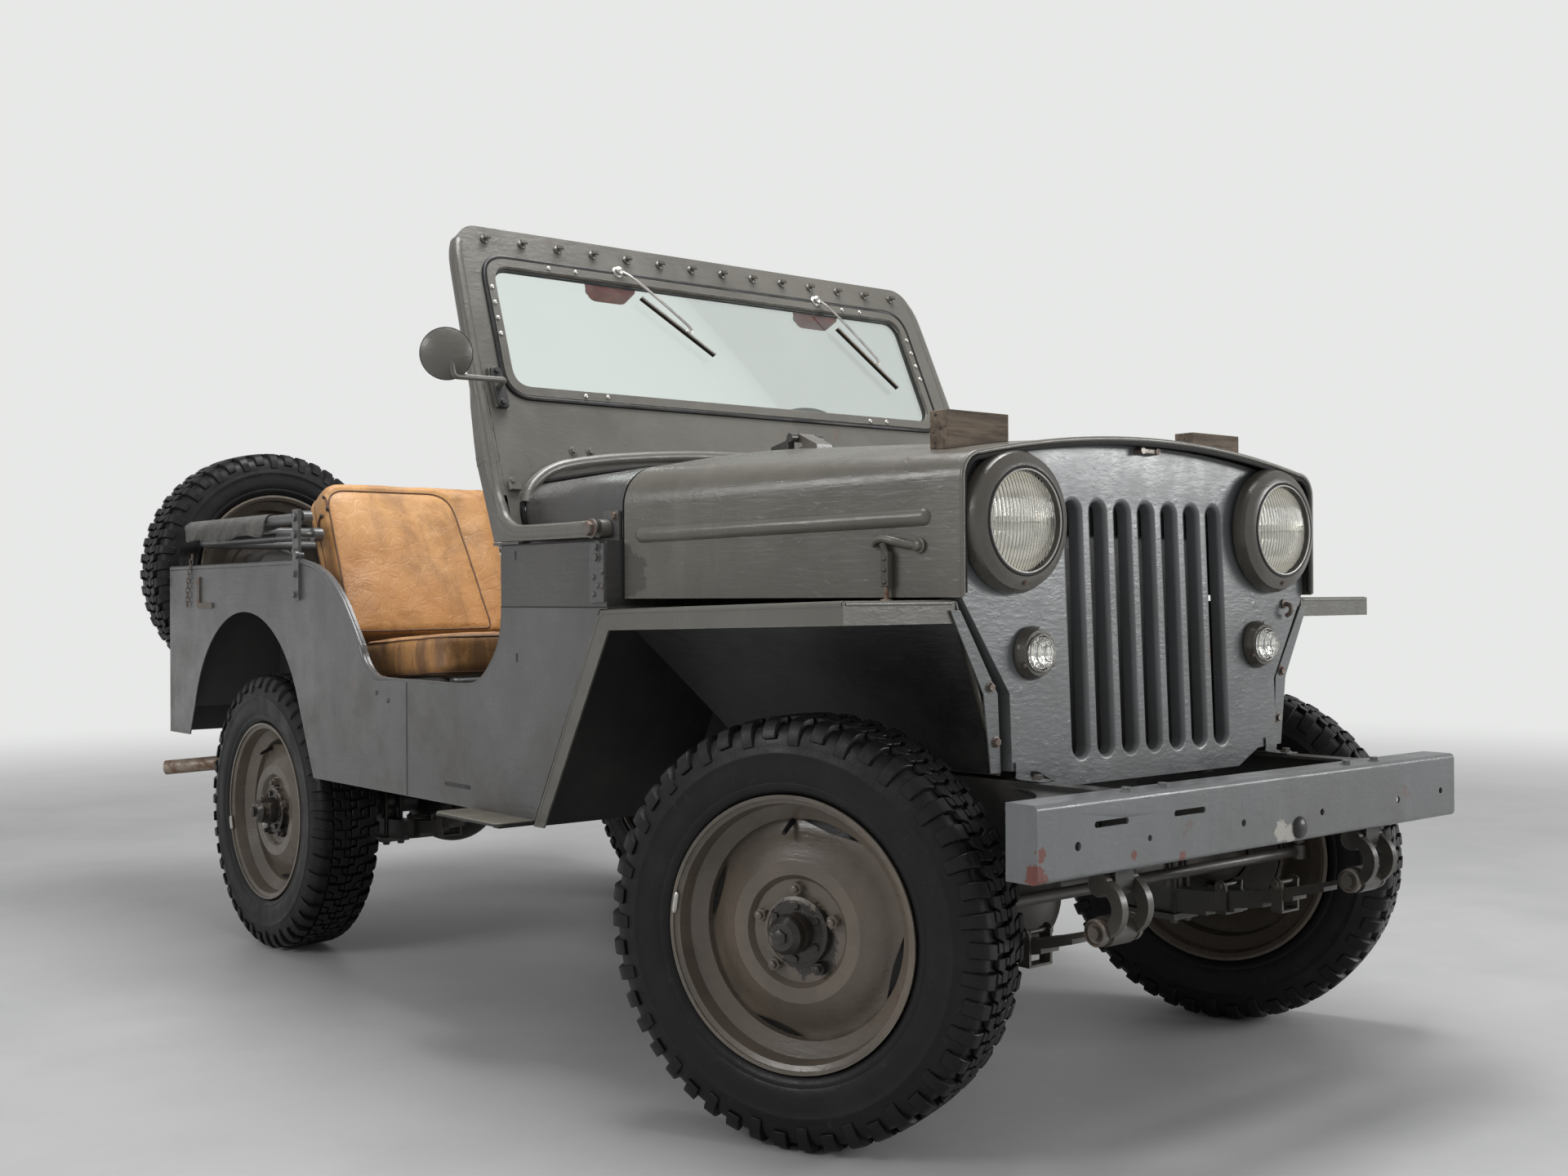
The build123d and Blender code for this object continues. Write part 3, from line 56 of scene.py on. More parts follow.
GRILLE_ORIGIN = Vector((0, -1.399, 0.839))
GRILLE_TILT = math.radians(2.3)
GRILLE_UP = Vector((0, math.sin(GRILLE_TILT), math.cos(GRILLE_TILT)))
GRILLE_OUT = Vector((0, -math.cos(GRILLE_TILT), math.sin(GRILLE_TILT)))
LAMP_X, LAMP_Z = 0.364, 1.017
MARKER_X, MARKER_Z = 0.318, 0.800
HOOD_FRONT_Y, HOOD_REAR_Y = -1.412, -0.756
HOOD_FRONT_HALF, HOOD_REAR_HALF = 0.490, 0.690
SPARE_CENTRE = Vector((-0.400, 1.571, 0.976))
BUMPER_FACE_Y = -1.652
BOW_HALF, BOW_PIVOT_Y = 0.706, 0.588
SPRING_X, SPRING_CAMBER, SPRING_EYE_Z = 0.353, 0.074, 0.376
FRONT_SPRING_HALF, REAR_SPRING_HALF = 0.450, 0.555
CORNERS = ("front_right", "front_left", "rear_right", "rear_left")

X, Y, Z = Vector((1, 0, 0)), Vector((0, 1, 0)), Vector((0, 0, 1))


def on_screen(x, height, proud=0.0):
    """A point on the windscreen's plane at a height above the floor, moved out from its face."""
    along = (height - SCREEN_ORIGIN.z) / math.cos(SCREEN_LEAN)
    return SCREEN_ORIGIN + X * x + SCREEN_UP * along + SCREEN_OUT * proud


def on_grille(x, height, proud=0.0):
    """A point on the grille's plane."""
    along = (height - GRILLE_ORIGIN.z) / math.cos(GRILLE_TILT)
    return GRILLE_ORIGIN + X * x + GRILLE_UP * along + GRILLE_OUT * proud


def hood_half(y):
    """Half width of the hood at a station."""
    share = (y - HOOD_FRONT_Y) / (HOOD_REAR_Y - HOOD_FRONT_Y)
    return HOOD_FRONT_HALF + share * (HOOD_REAR_HALF - HOOD_FRONT_HALF)


# Geometry helpers


def across(axis):
    """Two directions square to an axis and to each other."""
    axis = axis.normalized()
    first = axis.cross(X if abs(axis.x) < 0.8 else Y).normalized()
    return first, axis.cross(first)


def circle(centre, radius, steps, u=X, v=Z):
    """Points round a circle that lies in two directions."""
    angles = [math.tau * k / steps for k in range(steps)]
    return [centre + (u * math.cos(a) + v * math.sin(a)) * radius for a in angles]


def outward(mesh):
    """Turn a mesh's faces to look outward."""
    bm = bmesh.new()
    bm.from_mesh(mesh)
    bmesh.ops.recalc_face_normals(bm, faces=bm.faces)
    bm.to_mesh(mesh)
    bm.free()


def bevelled(mesh, width, segments, angle):
    """Bevel the edges of a mesh that are sharper than an angle."""
    bm = bmesh.new()
    bm.from_mesh(mesh)
    sharp = [e for e in bm.edges if e.calc_face_angle(0) > math.radians(angle)]
    bmesh.ops.bevel(bm, geom=sharp, offset=width, segments=segments, affect="EDGES", clamp_overlap=True)
    bm.to_mesh(mesh)
    bm.free()


def smoothed(mesh, angle):
    """Shade a mesh smoothly, but for edges sharper than an angle."""
    mesh.polygons.foreach_set("use_smooth", [True] * len(mesh.polygons))
    mesh.set_sharp_from_angle(angle=math.radians(angle))


class Shape:
    """Vertices and faces of one piece, gathered in metres."""

    def __init__(self):
        self.verts = []
        self.faces = []

    def mesh(self, name):
        """What was gathered, as a mesh."""
        made = bpy.data.meshes.new(name)
        made.from_pydata([tuple(v) for v in self.verts], [], self.faces)
        return made

    def add(self, verts, faces):
        start = len(self.verts)
        self.verts += [Vector(v) for v in verts]
        self.faces += [tuple(start + i for i in face) for face in faces]

    def rings(self, rings, loop=False):
        """Skin closed rings of equal length. The last joins the first, or both ends are capped."""
        n = len(rings[0])
        count = len(rings)
        faces = []
        for r in range(count if loop else count - 1):
            a, b = r * n, (r + 1) % count * n
            faces += [(a + i, a + (i + 1) % n, b + (i + 1) % n, b + i) for i in range(n)]
        if not loop:
            faces += [tuple(reversed(range(n))), tuple((count - 1) * n + i for i in range(n))]
        self.add([v for ring in rings for v in ring], faces)

    def turn(self, profile, origin, axis, steps=20):
        """Revolve (radius, height) pairs about an axis."""
        axis = axis.normalized()
        spokes = circle(Vector(), 1, steps, *across(axis))
        self.rings([[origin + axis * h + s * max(r, 1e-5) for s in spokes] for r, h in profile])

    def tube(self, points, radius, steps=10, loop=False):
        """A round tube along points. radius is a number or one number for each point."""
        points = [Vector(p) for p in points]
        count = len(points)
        radii = radius if hasattr(radius, "__len__") else [radius] * count
        rings, u = [], None
        for i, point in enumerate(points):
            before = points[i - 1] if i or loop else point
            after = points[(i + 1) % count] if i < count - 1 or loop else point
            heading = (after - before).normalized()
            u = across(heading)[0] if u is None else (u - heading * u.dot(heading)).normalized()
            rings.append(circle(point, radii[i], steps, u, heading.cross(u)))
        self.rings(rings, loop=loop)

    def prism(self, outline, origin, x_dir, normal, depth, edge=0.0):
        """Raise an outline of (x, y) pairs along a normal, with an edge chamfer round the far end."""
        y_dir = normal.cross(x_dir)
        middle = Vector((sum(p[0] for p in outline), sum(p[1] for p in outline))) / len(outline)
        rings = []
        for level, inset in ((0, 0), (depth - edge, 0), (depth, edge)) if edge else ((0, 0), (depth, 0)):
            ring = []
            for p in outline:
                flat = Vector(p)
                if inset:
                    flat = flat + (middle - flat).normalized() * inset
                ring.append(origin + x_dir * flat.x + y_dir * flat.y + normal * level)
            rings.append(ring)
        self.rings(rings)

    def block(self, centre, size, x_dir=X, normal=Z, edge=0.0):
        """A box with a chamfered far face."""
        w, d, h = size[0] / 2, size[1] / 2, size[2]
        outline = ((-w, -d), (w, -d), (w, d), (-w, d))
        self.prism(outline, centre - normal * h / 2, x_dir, normal, h, edge)

    def rivet(self, point, axis, size=0.006):
        """A round-headed rivet."""
        profile = ((1, 0), (1, 0.15), (0.86, 0.45), (0.5, 0.68), (0, 0.76))
        self.turn([(size * r, size * h) for r, h in profile], point, axis, 10)

    def bolt(self, point, axis, size=0.009, washer=True):
        """A hexagon head on its washer."""
        base = point
        if washer:
            self.turn(
                ((size * 1.35, 0), (size * 1.35, size * 0.16), (size * 1.2, size * 0.2)), point, axis, 16
            )
            base = point + axis.normalized() * size * 0.19
        u = across(axis)[0]
        hexagon = [(size * math.cos(math.tau * i / 6), size * math.sin(math.tau * i / 6)) for i in range(6)]
        self.prism(hexagon, base, u, axis.normalized(), size * 0.75, size * 0.1)

    def make(self, name, finish, body, slot, angle=38, rounding=0.0):
        """Turn what was gathered into a piece that rides on a body."""
        mesh = self.mesh(name)
        if rounding:
            bevelled(mesh, rounding, 2, 30)
        return piece_of(mesh, name, finish, body, angle)


def piece_of(mesh, name, finish, body, angle=38):
    """An object for a mesh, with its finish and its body."""
    outward(mesh)
    smoothed(mesh, angle)
    mesh.materials.clear()
    mesh.materials.append(finish)
    piece = bpy.data.objects.new(name, mesh)
    bpy.context.scene.collection.objects.link(piece)
    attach(piece, body)
    return piece


# Material helpers


class Finish:
    """A material with short calls for its nodes."""

    def __init__(self, name):
        self.material = bpy.data.materials.new(name)
        self.material.use_nodes = True
        self.tree = self.material.node_tree
        self.shader = self.tree.nodes["Principled BSDF"]
        self.place = self.node("TexCoord").outputs["Object"]

    def node(self, kind, **settings):
        made = self.tree.nodes.new("ShaderNode" + kind)
        for key, value in settings.items():
            setattr(made, key, value)
        return made

    def feed(self, socket, value):
        if isinstance(value, bpy.types.NodeSocket):
            self.tree.links.new(value, socket)
        elif hasattr(value, "__len__") and len(value) == 3 and socket.type == "RGBA":
            socket.default_value = (*value, 1)
        else:
            socket.default_value = value

    def set(self, **inputs):
        """Set the shader's inputs. Underscores stand for spaces."""
        for key, value in inputs.items():
            self.feed(self.shader.inputs[key.replace("_", " ")], value)
        return self.material

    def stretch(self, scale=(1, 1, 1), turn=(0, 0, 0)):
        made = self.node("Mapping")
        self.feed(made.inputs["Vector"], self.place)
        made.inputs["Scale"].default_value = scale
        made.inputs["Rotation"].default_value = turn
        return made.outputs["Vector"]

    def noise(self, scale, detail=4, rough=0.55, place=None, warp=0.0):
        made = self.node("TexNoise")
        self.feed(made.inputs["Vector"], place or self.place)
        for key, value in (("Scale", scale), ("Detail", detail), ("Roughness", rough), ("Distortion", warp)):
            made.inputs[key].default_value = value
        return made.outputs["Fac"]

    def cells(self, scale, place):
        """Distance from the edges of scattered cells."""
        made = self.node("TexVoronoi", feature="DISTANCE_TO_EDGE")
        self.feed(made.inputs["Vector"], place)
        made.inputs["Scale"].default_value = scale
        return made.outputs["Distance"]

    def wave(self, scale, direction):
        made = self.node("TexWave", bands_direction=direction)
        self.feed(made.inputs["Vector"], self.place)
        made.inputs["Scale"].default_value = scale
        return made.outputs["Fac"]

    def sum(self, operation, a, b):
        made = self.node("Math", operation=operation, use_clamp=True)
        self.feed(made.inputs[0], a)
        self.feed(made.inputs[1], b)
        return made.outputs["Value"]

    def ramp(self, value, low, high, start=0.0, end=1.0):
        """Spread a value between two limits, smoothly."""
        made = self.node("MapRange", interpolation_type="SMOOTHSTEP")
        self.feed(made.inputs["Value"], value)
        for key, number in (("From Min", low), ("From Max", high), ("To Min", start), ("To Max", end)):
            made.inputs[key].default_value = number
        return made.outputs["Result"]

    def mix(self, share, a, b):
        made = self.node("Mix", data_type="RGBA")
        self.feed(made.inputs["Factor"], share)
        self.feed(made.inputs[6], a)
        self.feed(made.inputs[7], b)
        return made.outputs[2]

    def bump(self, height, depth, before=None):
        made = self.node("Bump")
        self.feed(made.inputs["Height"], height)
        made.inputs["Distance"].default_value = depth
        if before:
            self.feed(made.inputs["Normal"], before)
        return made.outputs["Normal"]

    def edges(self, radius, low=0.02, high=0.22):
        """Share of wear: 1 on outer edges, 0 on flat faces."""
        soft = self.node("Bevel", samples=4)
        soft.inputs["Radius"].default_value = radius
        geometry = self.node("NewGeometry")
        dot = self.node("VectorMath", operation="DOT_PRODUCT")
        self.feed(dot.inputs[0], soft.outputs["Normal"])
        self.feed(dot.inputs[1], geometry.outputs["Normal"])
        return self.ramp(self.sum("SUBTRACT", 1.0, dot.outputs["Value"]), low, high)

    def join(self, share, first, second):
        """Blend two shaders, or anything that carries light, and give the result."""
        made = self.node("MixShader")
        for socket, value in zip(made.inputs, (share, first, second)):
            self.feed(socket, value)
        return made.outputs[0]

    def show(self, shader):
        """Make a shader the material's surface."""
        self.feed(self.tree.nodes["Material Output"].inputs["Surface"], shader)
        return self.material

    def patch(self, colour, tint, place, reach, ragged=1.4):
        """Mix a tint in round a place, with a ragged edge."""
        away = self.node("VectorMath", operation="DISTANCE")
        self.feed(away.inputs[0], self.place)
        away.inputs[1].default_value = place
        edge = self.sum("MULTIPLY", self.noise(0.9 / reach, 6, 0.75), ragged * reach * 2)
        level = self.sum("ADD", away.outputs["Value"], edge)
        share = self.ramp(level, reach * (0.9 + ragged), reach * (1.05 + ragged), 1, 0)
        return self.mix(share, colour, tint)

    def height(self):
        made = self.node("SeparateXYZ")
        self.feed(made.inputs["Vector"], self.place)
        return made.outputs["Z"]


# Finishes


def paint(name, base, dark, gloss=0.42, grime=0.5, wear=0.5, brush=1.0, patches=()):
    """Brushed-on olive-grey paint with strokes, small dents, grime, rubbed edges, chips and patches."""
    f = Finish(name)
    cloud = f.noise(2.2, 5, 0.6)
    streak = f.noise(9, 6, 0.65, f.stretch((1, 1, 0.16)))
    colour = f.mix(f.ramp(cloud, 0.35, 0.7), base, dark)
    colour = f.mix(f.ramp(streak, 0.5, 0.78, 0, 0.5), colour, [c * 1.28 for c in base])
    low = f.ramp(f.height(), 0.35, 0.95, 1.0, 0.0)
    dirt = f.sum("MULTIPLY", f.ramp(f.noise(6, 8, 0.7), 0.42, 0.7), f.sum("ADD", low, 0.25))
    colour = f.mix(f.sum("MULTIPLY", dirt, grime), colour, (0.075, 0.064, 0.05))
    rubbed = f.sum("MULTIPLY", f.edges(0.004), f.ramp(f.noise(34, 5, 0.7), 0.44, 0.66))
    colour = f.mix(f.sum("MULTIPLY", rubbed, wear), colour, (0.34, 0.33, 0.29))
    spot = f.ramp(f.noise(13, 3, 0.5, warp=0.6), 0.705, 0.73)
    chip = f.sum("MULTIPLY", spot, f.ramp(f.noise(60, 4, 0.6), 0.42, 0.5))
    colour = f.mix(f.sum("MULTIPLY", chip, wear), colour, (0.13, 0.075, 0.055))
    for tint, place, reach in patches:
        colour = f.patch(colour, tint, place, reach)
    sheen = f.ramp(f.noise(14, 4, 0.6), 0.3, 0.75, gloss - 0.07, gloss + 0.1)
    rough = f.sum("ADD", sheen, f.sum("MULTIPLY", dirt, 0.18))
    dents = f.bump(f.noise(3.4, 2, 0.5), 0.006 * brush)
    strokes = f.bump(f.noise(120, 3, 0.6, f.stretch((0.35, 0.12, 1))), 0.0007 * brush, dents)
    drops = f.bump(f.ramp(f.noise(55, 2, 0.5), 0.58, 0.75), 0.00025 * brush, strokes)
    return f.set(Base_Color=colour, Roughness=rough, Normal=drops, Coat_Weight=0.22, Coat_Roughness=0.22)


def rubber(name, base=(0.0075, 0.0075, 0.0085)):
    """Dressed tyre rubber, dusty where nothing rubs it."""
    f = Finish(name)
    dust = f.ramp(f.noise(8, 8, 0.7), 0.45, 0.8, 0, 0.55)
    colour = f.mix(dust, base, (0.026, 0.024, 0.022))
    scuff = f.ramp(f.noise(40, 6, 0.7), 0.6, 0.75, 0, 0.5)
    colour = f.mix(scuff, colour, (0.045, 0.043, 0.041))
    grain = f.bump(f.noise(420, 3, 0.6), 0.0004)
    rough = f.ramp(f.noise(11, 5, 0.6), 0.3, 0.7, 0.30, 0.52)
    skin = f.bump(f.noise(26, 4, 0.6), 0.0012, grain)
    return f.set(Base_Color=colour, Roughness=rough, Normal=skin, Specular_IOR_Level=0.26)


def tan_cover(name, worn):
    """Tan coated seat cloth, stained, rubbed and creased."""
    f = Finish(name)
    cloud = f.noise(3.0, 6, 0.62, warp=0.4)
    colour = f.mix(f.ramp(cloud, 0.34, 0.66), (0.60, 0.315, 0.115), (0.46, 0.215, 0.07))
    blot = f.ramp(f.noise(5.5, 7, 0.7, warp=1.0), 0.52, 0.72)
    stain = f.sum("MULTIPLY", blot, f.ramp(f.noise(1.6, 3), 0.4, 0.6))
    colour = f.mix(f.sum("MULTIPLY", stain, 0.75), colour, (0.20, 0.098, 0.045))
    run = f.noise(7, 6, 0.65, f.stretch((1.6, 1.6, 0.35)), warp=0.7)
    streak = f.ramp(run, 0.50 - 0.08 * worn, 0.70, 0, worn)
    colour = f.mix(streak, colour, (0.235, 0.120, 0.052))
    dot = f.ramp(f.noise(70, 4, 0.65), 0.6, 0.72, 0, 0.35)
    colour = f.mix(dot, colour, (0.27, 0.13, 0.055))
    scratch = f.noise(24, 6, 0.7, f.stretch((1, 1, 0.5), (0, 0.6, 0)))
    pale = f.sum("MULTIPLY", f.ramp(scratch, 0.56, 0.74), 0.32)
    colour = f.mix(pale, colour, (0.74, 0.46, 0.22))
    crease = f.ramp(f.cells(34, f.stretch((1, 1, 0.8))), 0.0, 0.06)
    skin = f.bump(crease, 0.0003, f.bump(f.noise(900, 2, 0.5), 0.00025))
    soft = f.bump(f.noise(17, 5, 0.6, warp=0.5), 0.0035, skin)
    rough = f.ramp(f.noise(12, 5), 0.3, 0.7, 0.42, 0.62)
    return f.set(Base_Color=colour, Roughness=rough, Normal=soft, Sheen_Weight=0.12, Sheen_Roughness=0.4)


def cloth(name, base, light, threads=900):
    """Woven canvas with faded folds."""
    f = Finish(name)
    weave = f.sum("MULTIPLY", f.wave(threads / 6.283, "X"), f.wave(threads / 6.283, "Y"))
    colour = f.mix(f.ramp(f.noise(7, 6, 0.65), 0.4, 0.7), base, light)
    colour = f.mix(f.sum("MULTIPLY", weave, 0.35), colour, [c * 1.6 for c in base])
    folds = f.bump(f.noise(18, 5, 0.6, warp=0.8), 0.006, f.bump(weave, 0.0004))
    return f.set(Base_Color=colour, Roughness=0.88, Normal=folds, Sheen_Weight=0.25)


def timber(name):
    """Grey weathered softwood with open grain along its length."""
    f = Finish(name)
    grain = f.noise(46, 7, 0.7, f.stretch((0.09, 1, 1)), warp=0.5)
    colour = f.mix(f.ramp(grain, 0.35, 0.65), (0.20, 0.155, 0.115), (0.085, 0.066, 0.05))
    crack = f.ramp(f.noise(90, 3, 0.6, f.stretch((0.05, 1, 1.4))), 0.62, 0.7)
    colour = f.mix(crack, colour, (0.022, 0.018, 0.014))
    return f.set(Base_Color=colour, Roughness=0.85, Normal=f.bump(grain, 0.0016, f.bump(crack, 0.001)))


def metal(name, base, rough, rust=0.0, metallic=1.0, glow=0.0):
    """Bare or plated steel, with rust in patches. A glow stands for lamplight caught in a bowl."""
    f = Finish(name)
    patch = f.ramp(f.noise(30, 7, 0.7), 0.5 - 0.1 * rust, 0.66, 0, rust)
    colour = f.mix(patch, base, (0.16, 0.062, 0.028))
    colour = f.mix(f.ramp(f.noise(9, 5, 0.6), 0.5, 0.8, 0, 0.45), colour, [c * 0.45 for c in base])
    shine = f.sum("SUBTRACT", metallic, f.sum("MULTIPLY", patch, metallic))
    fine = f.ramp(f.noise(60, 4), 0.3, 0.7, rough, rough + 0.16)
    roughness = f.sum("ADD", fine, f.sum("MULTIPLY", patch, 0.35))
    bumps = f.bump(f.noise(140, 4, 0.6), 0.0005)
    if glow:
        f.set(Emission_Color=(1.0, 0.95, 0.86), Emission_Strength=glow)
    return f.set(Base_Color=colour, Metallic=shine, Roughness=roughness, Normal=bumps)


def plastic(name, base, rough=0.4):
    """Worn moulded plastic or paint on small parts."""
    f = Finish(name)
    colour = f.mix(f.ramp(f.noise(25, 6, 0.7), 0.5, 0.75, 0, 0.5), base, [min(1, c * 2 + 0.03) for c in base])
    rubbed = f.sum("MULTIPLY", f.edges(0.002), 0.5)
    colour = f.mix(rubbed, colour, [min(1, c * 2.5 + 0.06) for c in base])
    roughness = f.ramp(f.noise(30, 4), 0.3, 0.7, rough, rough + 0.2)
    return f.set(Base_Color=colour, Roughness=roughness, Normal=f.bump(f.noise(200, 3), 0.0003))


def clear_glass(name, tint, haze=0.03):
    """Clear glass that lets light through, with a film of dust."""
    f = Finish(name)
    dust = f.node("BsdfDiffuse")
    f.feed(dust.inputs["Color"], (0.75, 0.78, 0.76))
    see = f.node("BsdfTransparent")
    f.feed(see.inputs["Color"], tint)
    gloss = f.node("BsdfGlossy")
    gloss.inputs["Roughness"].default_value = 0.02
    share = f.node("LayerWeight")
    share.inputs["Blend"].default_value = 0.25
    clear = f.join(f.sum("MULTIPLY", share.outputs["Fresnel"], 0.35), see.outputs[0], gloss.outputs[0])
    film = f.ramp(f.noise(5, 6, 0.65), 0.3, 0.8, haze * 0.4, haze * 1.8)
    return f.show(f.join(film, clear, dust.outputs[0]))


def lens_glass(name, bands):
    """Pressed lamp glass with upright flutes."""
    f = Finish(name)
    flutes = f.bump(f.wave(bands, "X"), 0.0011)
    return f.set(
        Base_Color=(0.96, 0.97, 0.95), Roughness=0.03, Transmission_Weight=1.0, IOR=1.45, Normal=flutes
    )


PRIMER, BARE = (0.14, 0.036, 0.026), (0.36, 0.345, 0.31)
# The first colour is painted shade for a corner; the second is grime round the hubs.
CORNER_SHADE, HUB_GRIME = (0.070, 0.063, 0.054), (0.022, 0.018, 0.015)
BODY = paint("body_paint", (0.104, 0.105, 0.106), (0.076, 0.076, 0.076), gloss=0.32)
# The cowl's paint is a darker copy of the body paint: painted shade.
COWL_PAINTED_SHADE = paint("cowl_painted_shade", (0.070, 0.068, 0.066), (0.050, 0.049, 0.049), gloss=0.27)
SCREEN = paint("screen_paint", (0.138, 0.132, 0.115), (0.104, 0.099, 0.086), gloss=0.34)
# The two dark patches at the hood's rear right corner, in the step to the wider cowl, are painted shade.
HOOD = paint(
    "hood_paint", (0.146, 0.137, 0.117), (0.114, 0.106, 0.090), gloss=0.29,
    patches=((CORNER_SHADE, (-0.692, -0.765, 0.950), 0.045), (CORNER_SHADE, (-0.690, -0.760, 0.915), 0.030)),
)
# The front paint's bluish tint is a painted reflection; its bare and primer patches are real wear.
FRONT_PAINT_BLUE_REFLECTION = paint(
    "front_paint_blue_reflection", (0.138, 0.146, 0.152), (0.112, 0.116, 0.118), gloss=0.34, brush=1.1, grime=0.3,
    patches=(
        (BARE, (0.020, BUMPER_FACE_Y, 0.500), 0.018),
        (BARE, (0.045, BUMPER_FACE_Y, 0.492), 0.016),
        (PRIMER, (-0.588, -1.650, 0.489), 0.020),
        (PRIMER, (-0.578, BUMPER_FACE_Y, 0.520), 0.010),
        (PRIMER, (-0.369, BUMPER_FACE_Y, 0.498), 0.008),
        (PRIMER, (-0.248, BUMPER_FACE_Y, 0.483), 0.009),
    ),
)
FENDER = paint(
    "fender_paint", (0.128, 0.124, 0.108), (0.102, 0.098, 0.084), gloss=0.32,
    patches=((PRIMER, (-0.545, -1.300, 0.887), 0.016), (PRIMER, (-0.535, -1.285, 0.887), 0.012)),
)
TREAD = paint("step_paint", (0.26, 0.245, 0.20), (0.20, 0.185, 0.15), gloss=0.5, grime=0.4)
BEZEL = paint("bezel_paint", (0.088, 0.080, 0.068), (0.066, 0.060, 0.050), gloss=0.30, grime=0.2, wear=0.3)
CHASSIS = paint("frame_paint", (0.058, 0.053, 0.046), (0.030, 0.028, 0.025), gloss=0.42, grime=0.9, wear=0.35)
UNDER = paint("under_paint", (0.026, 0.025, 0.024), (0.014, 0.014, 0.014), gloss=0.5, grime=0.7, wear=0.2)
WHEEL = paint(
    "wheel_paint", (0.140, 0.113, 0.088), (0.080, 0.066, 0.052), gloss=0.30, grime=0.75, wear=0.5,
    patches=((HUB_GRIME, (-0.657, -1.212, 0.345), 0.062), (HUB_GRIME, (-0.672, 0.882, 0.345), 0.062)),
)
TYRE = rubber("tyre_rubber")
SEAL = rubber("seal_rubber", (0.012, 0.012, 0.012))
# Near-black paint for the sheets under the fenders: painted shade.
WHEELHOUSE_SHADE = paint(
    "wheelhouse_painted_shade", (0.010, 0.010, 0.011), (0.006, 0.006, 0.007), gloss=0.45, grime=0.25, wear=0.1
)
SEAT = tan_cover("seat_cover", 0.5)
CUSHION = tan_cover("cushion_cover", 1.4)
PIPING = plastic("piping", (0.11, 0.055, 0.028), 0.5)
CANVAS = cloth("canvas", (0.035, 0.033, 0.027), (0.085, 0.082, 0.068))
WOOD = timber("old_wood")
STEEL = metal("bright_steel", (0.55, 0.54, 0.51), 0.28, rust=0.25)
DULL = metal("dull_steel", (0.22, 0.205, 0.185), 0.45, rust=0.6)
PIPE = metal("rusty_steel", (0.34, 0.28, 0.23), 0.5, rust=0.85, metallic=0.6)
BLACK = plastic("black_plastic", (0.018, 0.018, 0.018), 0.32)
RED = plastic("red_motor", (0.24, 0.03, 0.028), 0.35)
IRON = paint("cast_iron", (0.018, 0.018, 0.019), (0.010, 0.010, 0.011), gloss=0.5, grime=0.3, wear=0.1)
MIRRORED = metal("mirror_silver", (0.9, 0.89, 0.86), 0.06)
REFLECTOR = metal("reflector", (0.97, 0.95, 0.90), 0.05, glow=0.10)
GLASS = clear_glass("screen_glass", (0.93, 0.965, 0.95))
LENS = lens_glass("lens_glass", 46)
RED_LENS = plastic("red_lens", (0.32, 0.012, 0.008), 0.12)


# Stage, camera and light


FLOOR_RADIUS, FLOOR_STEPS = 60, 64


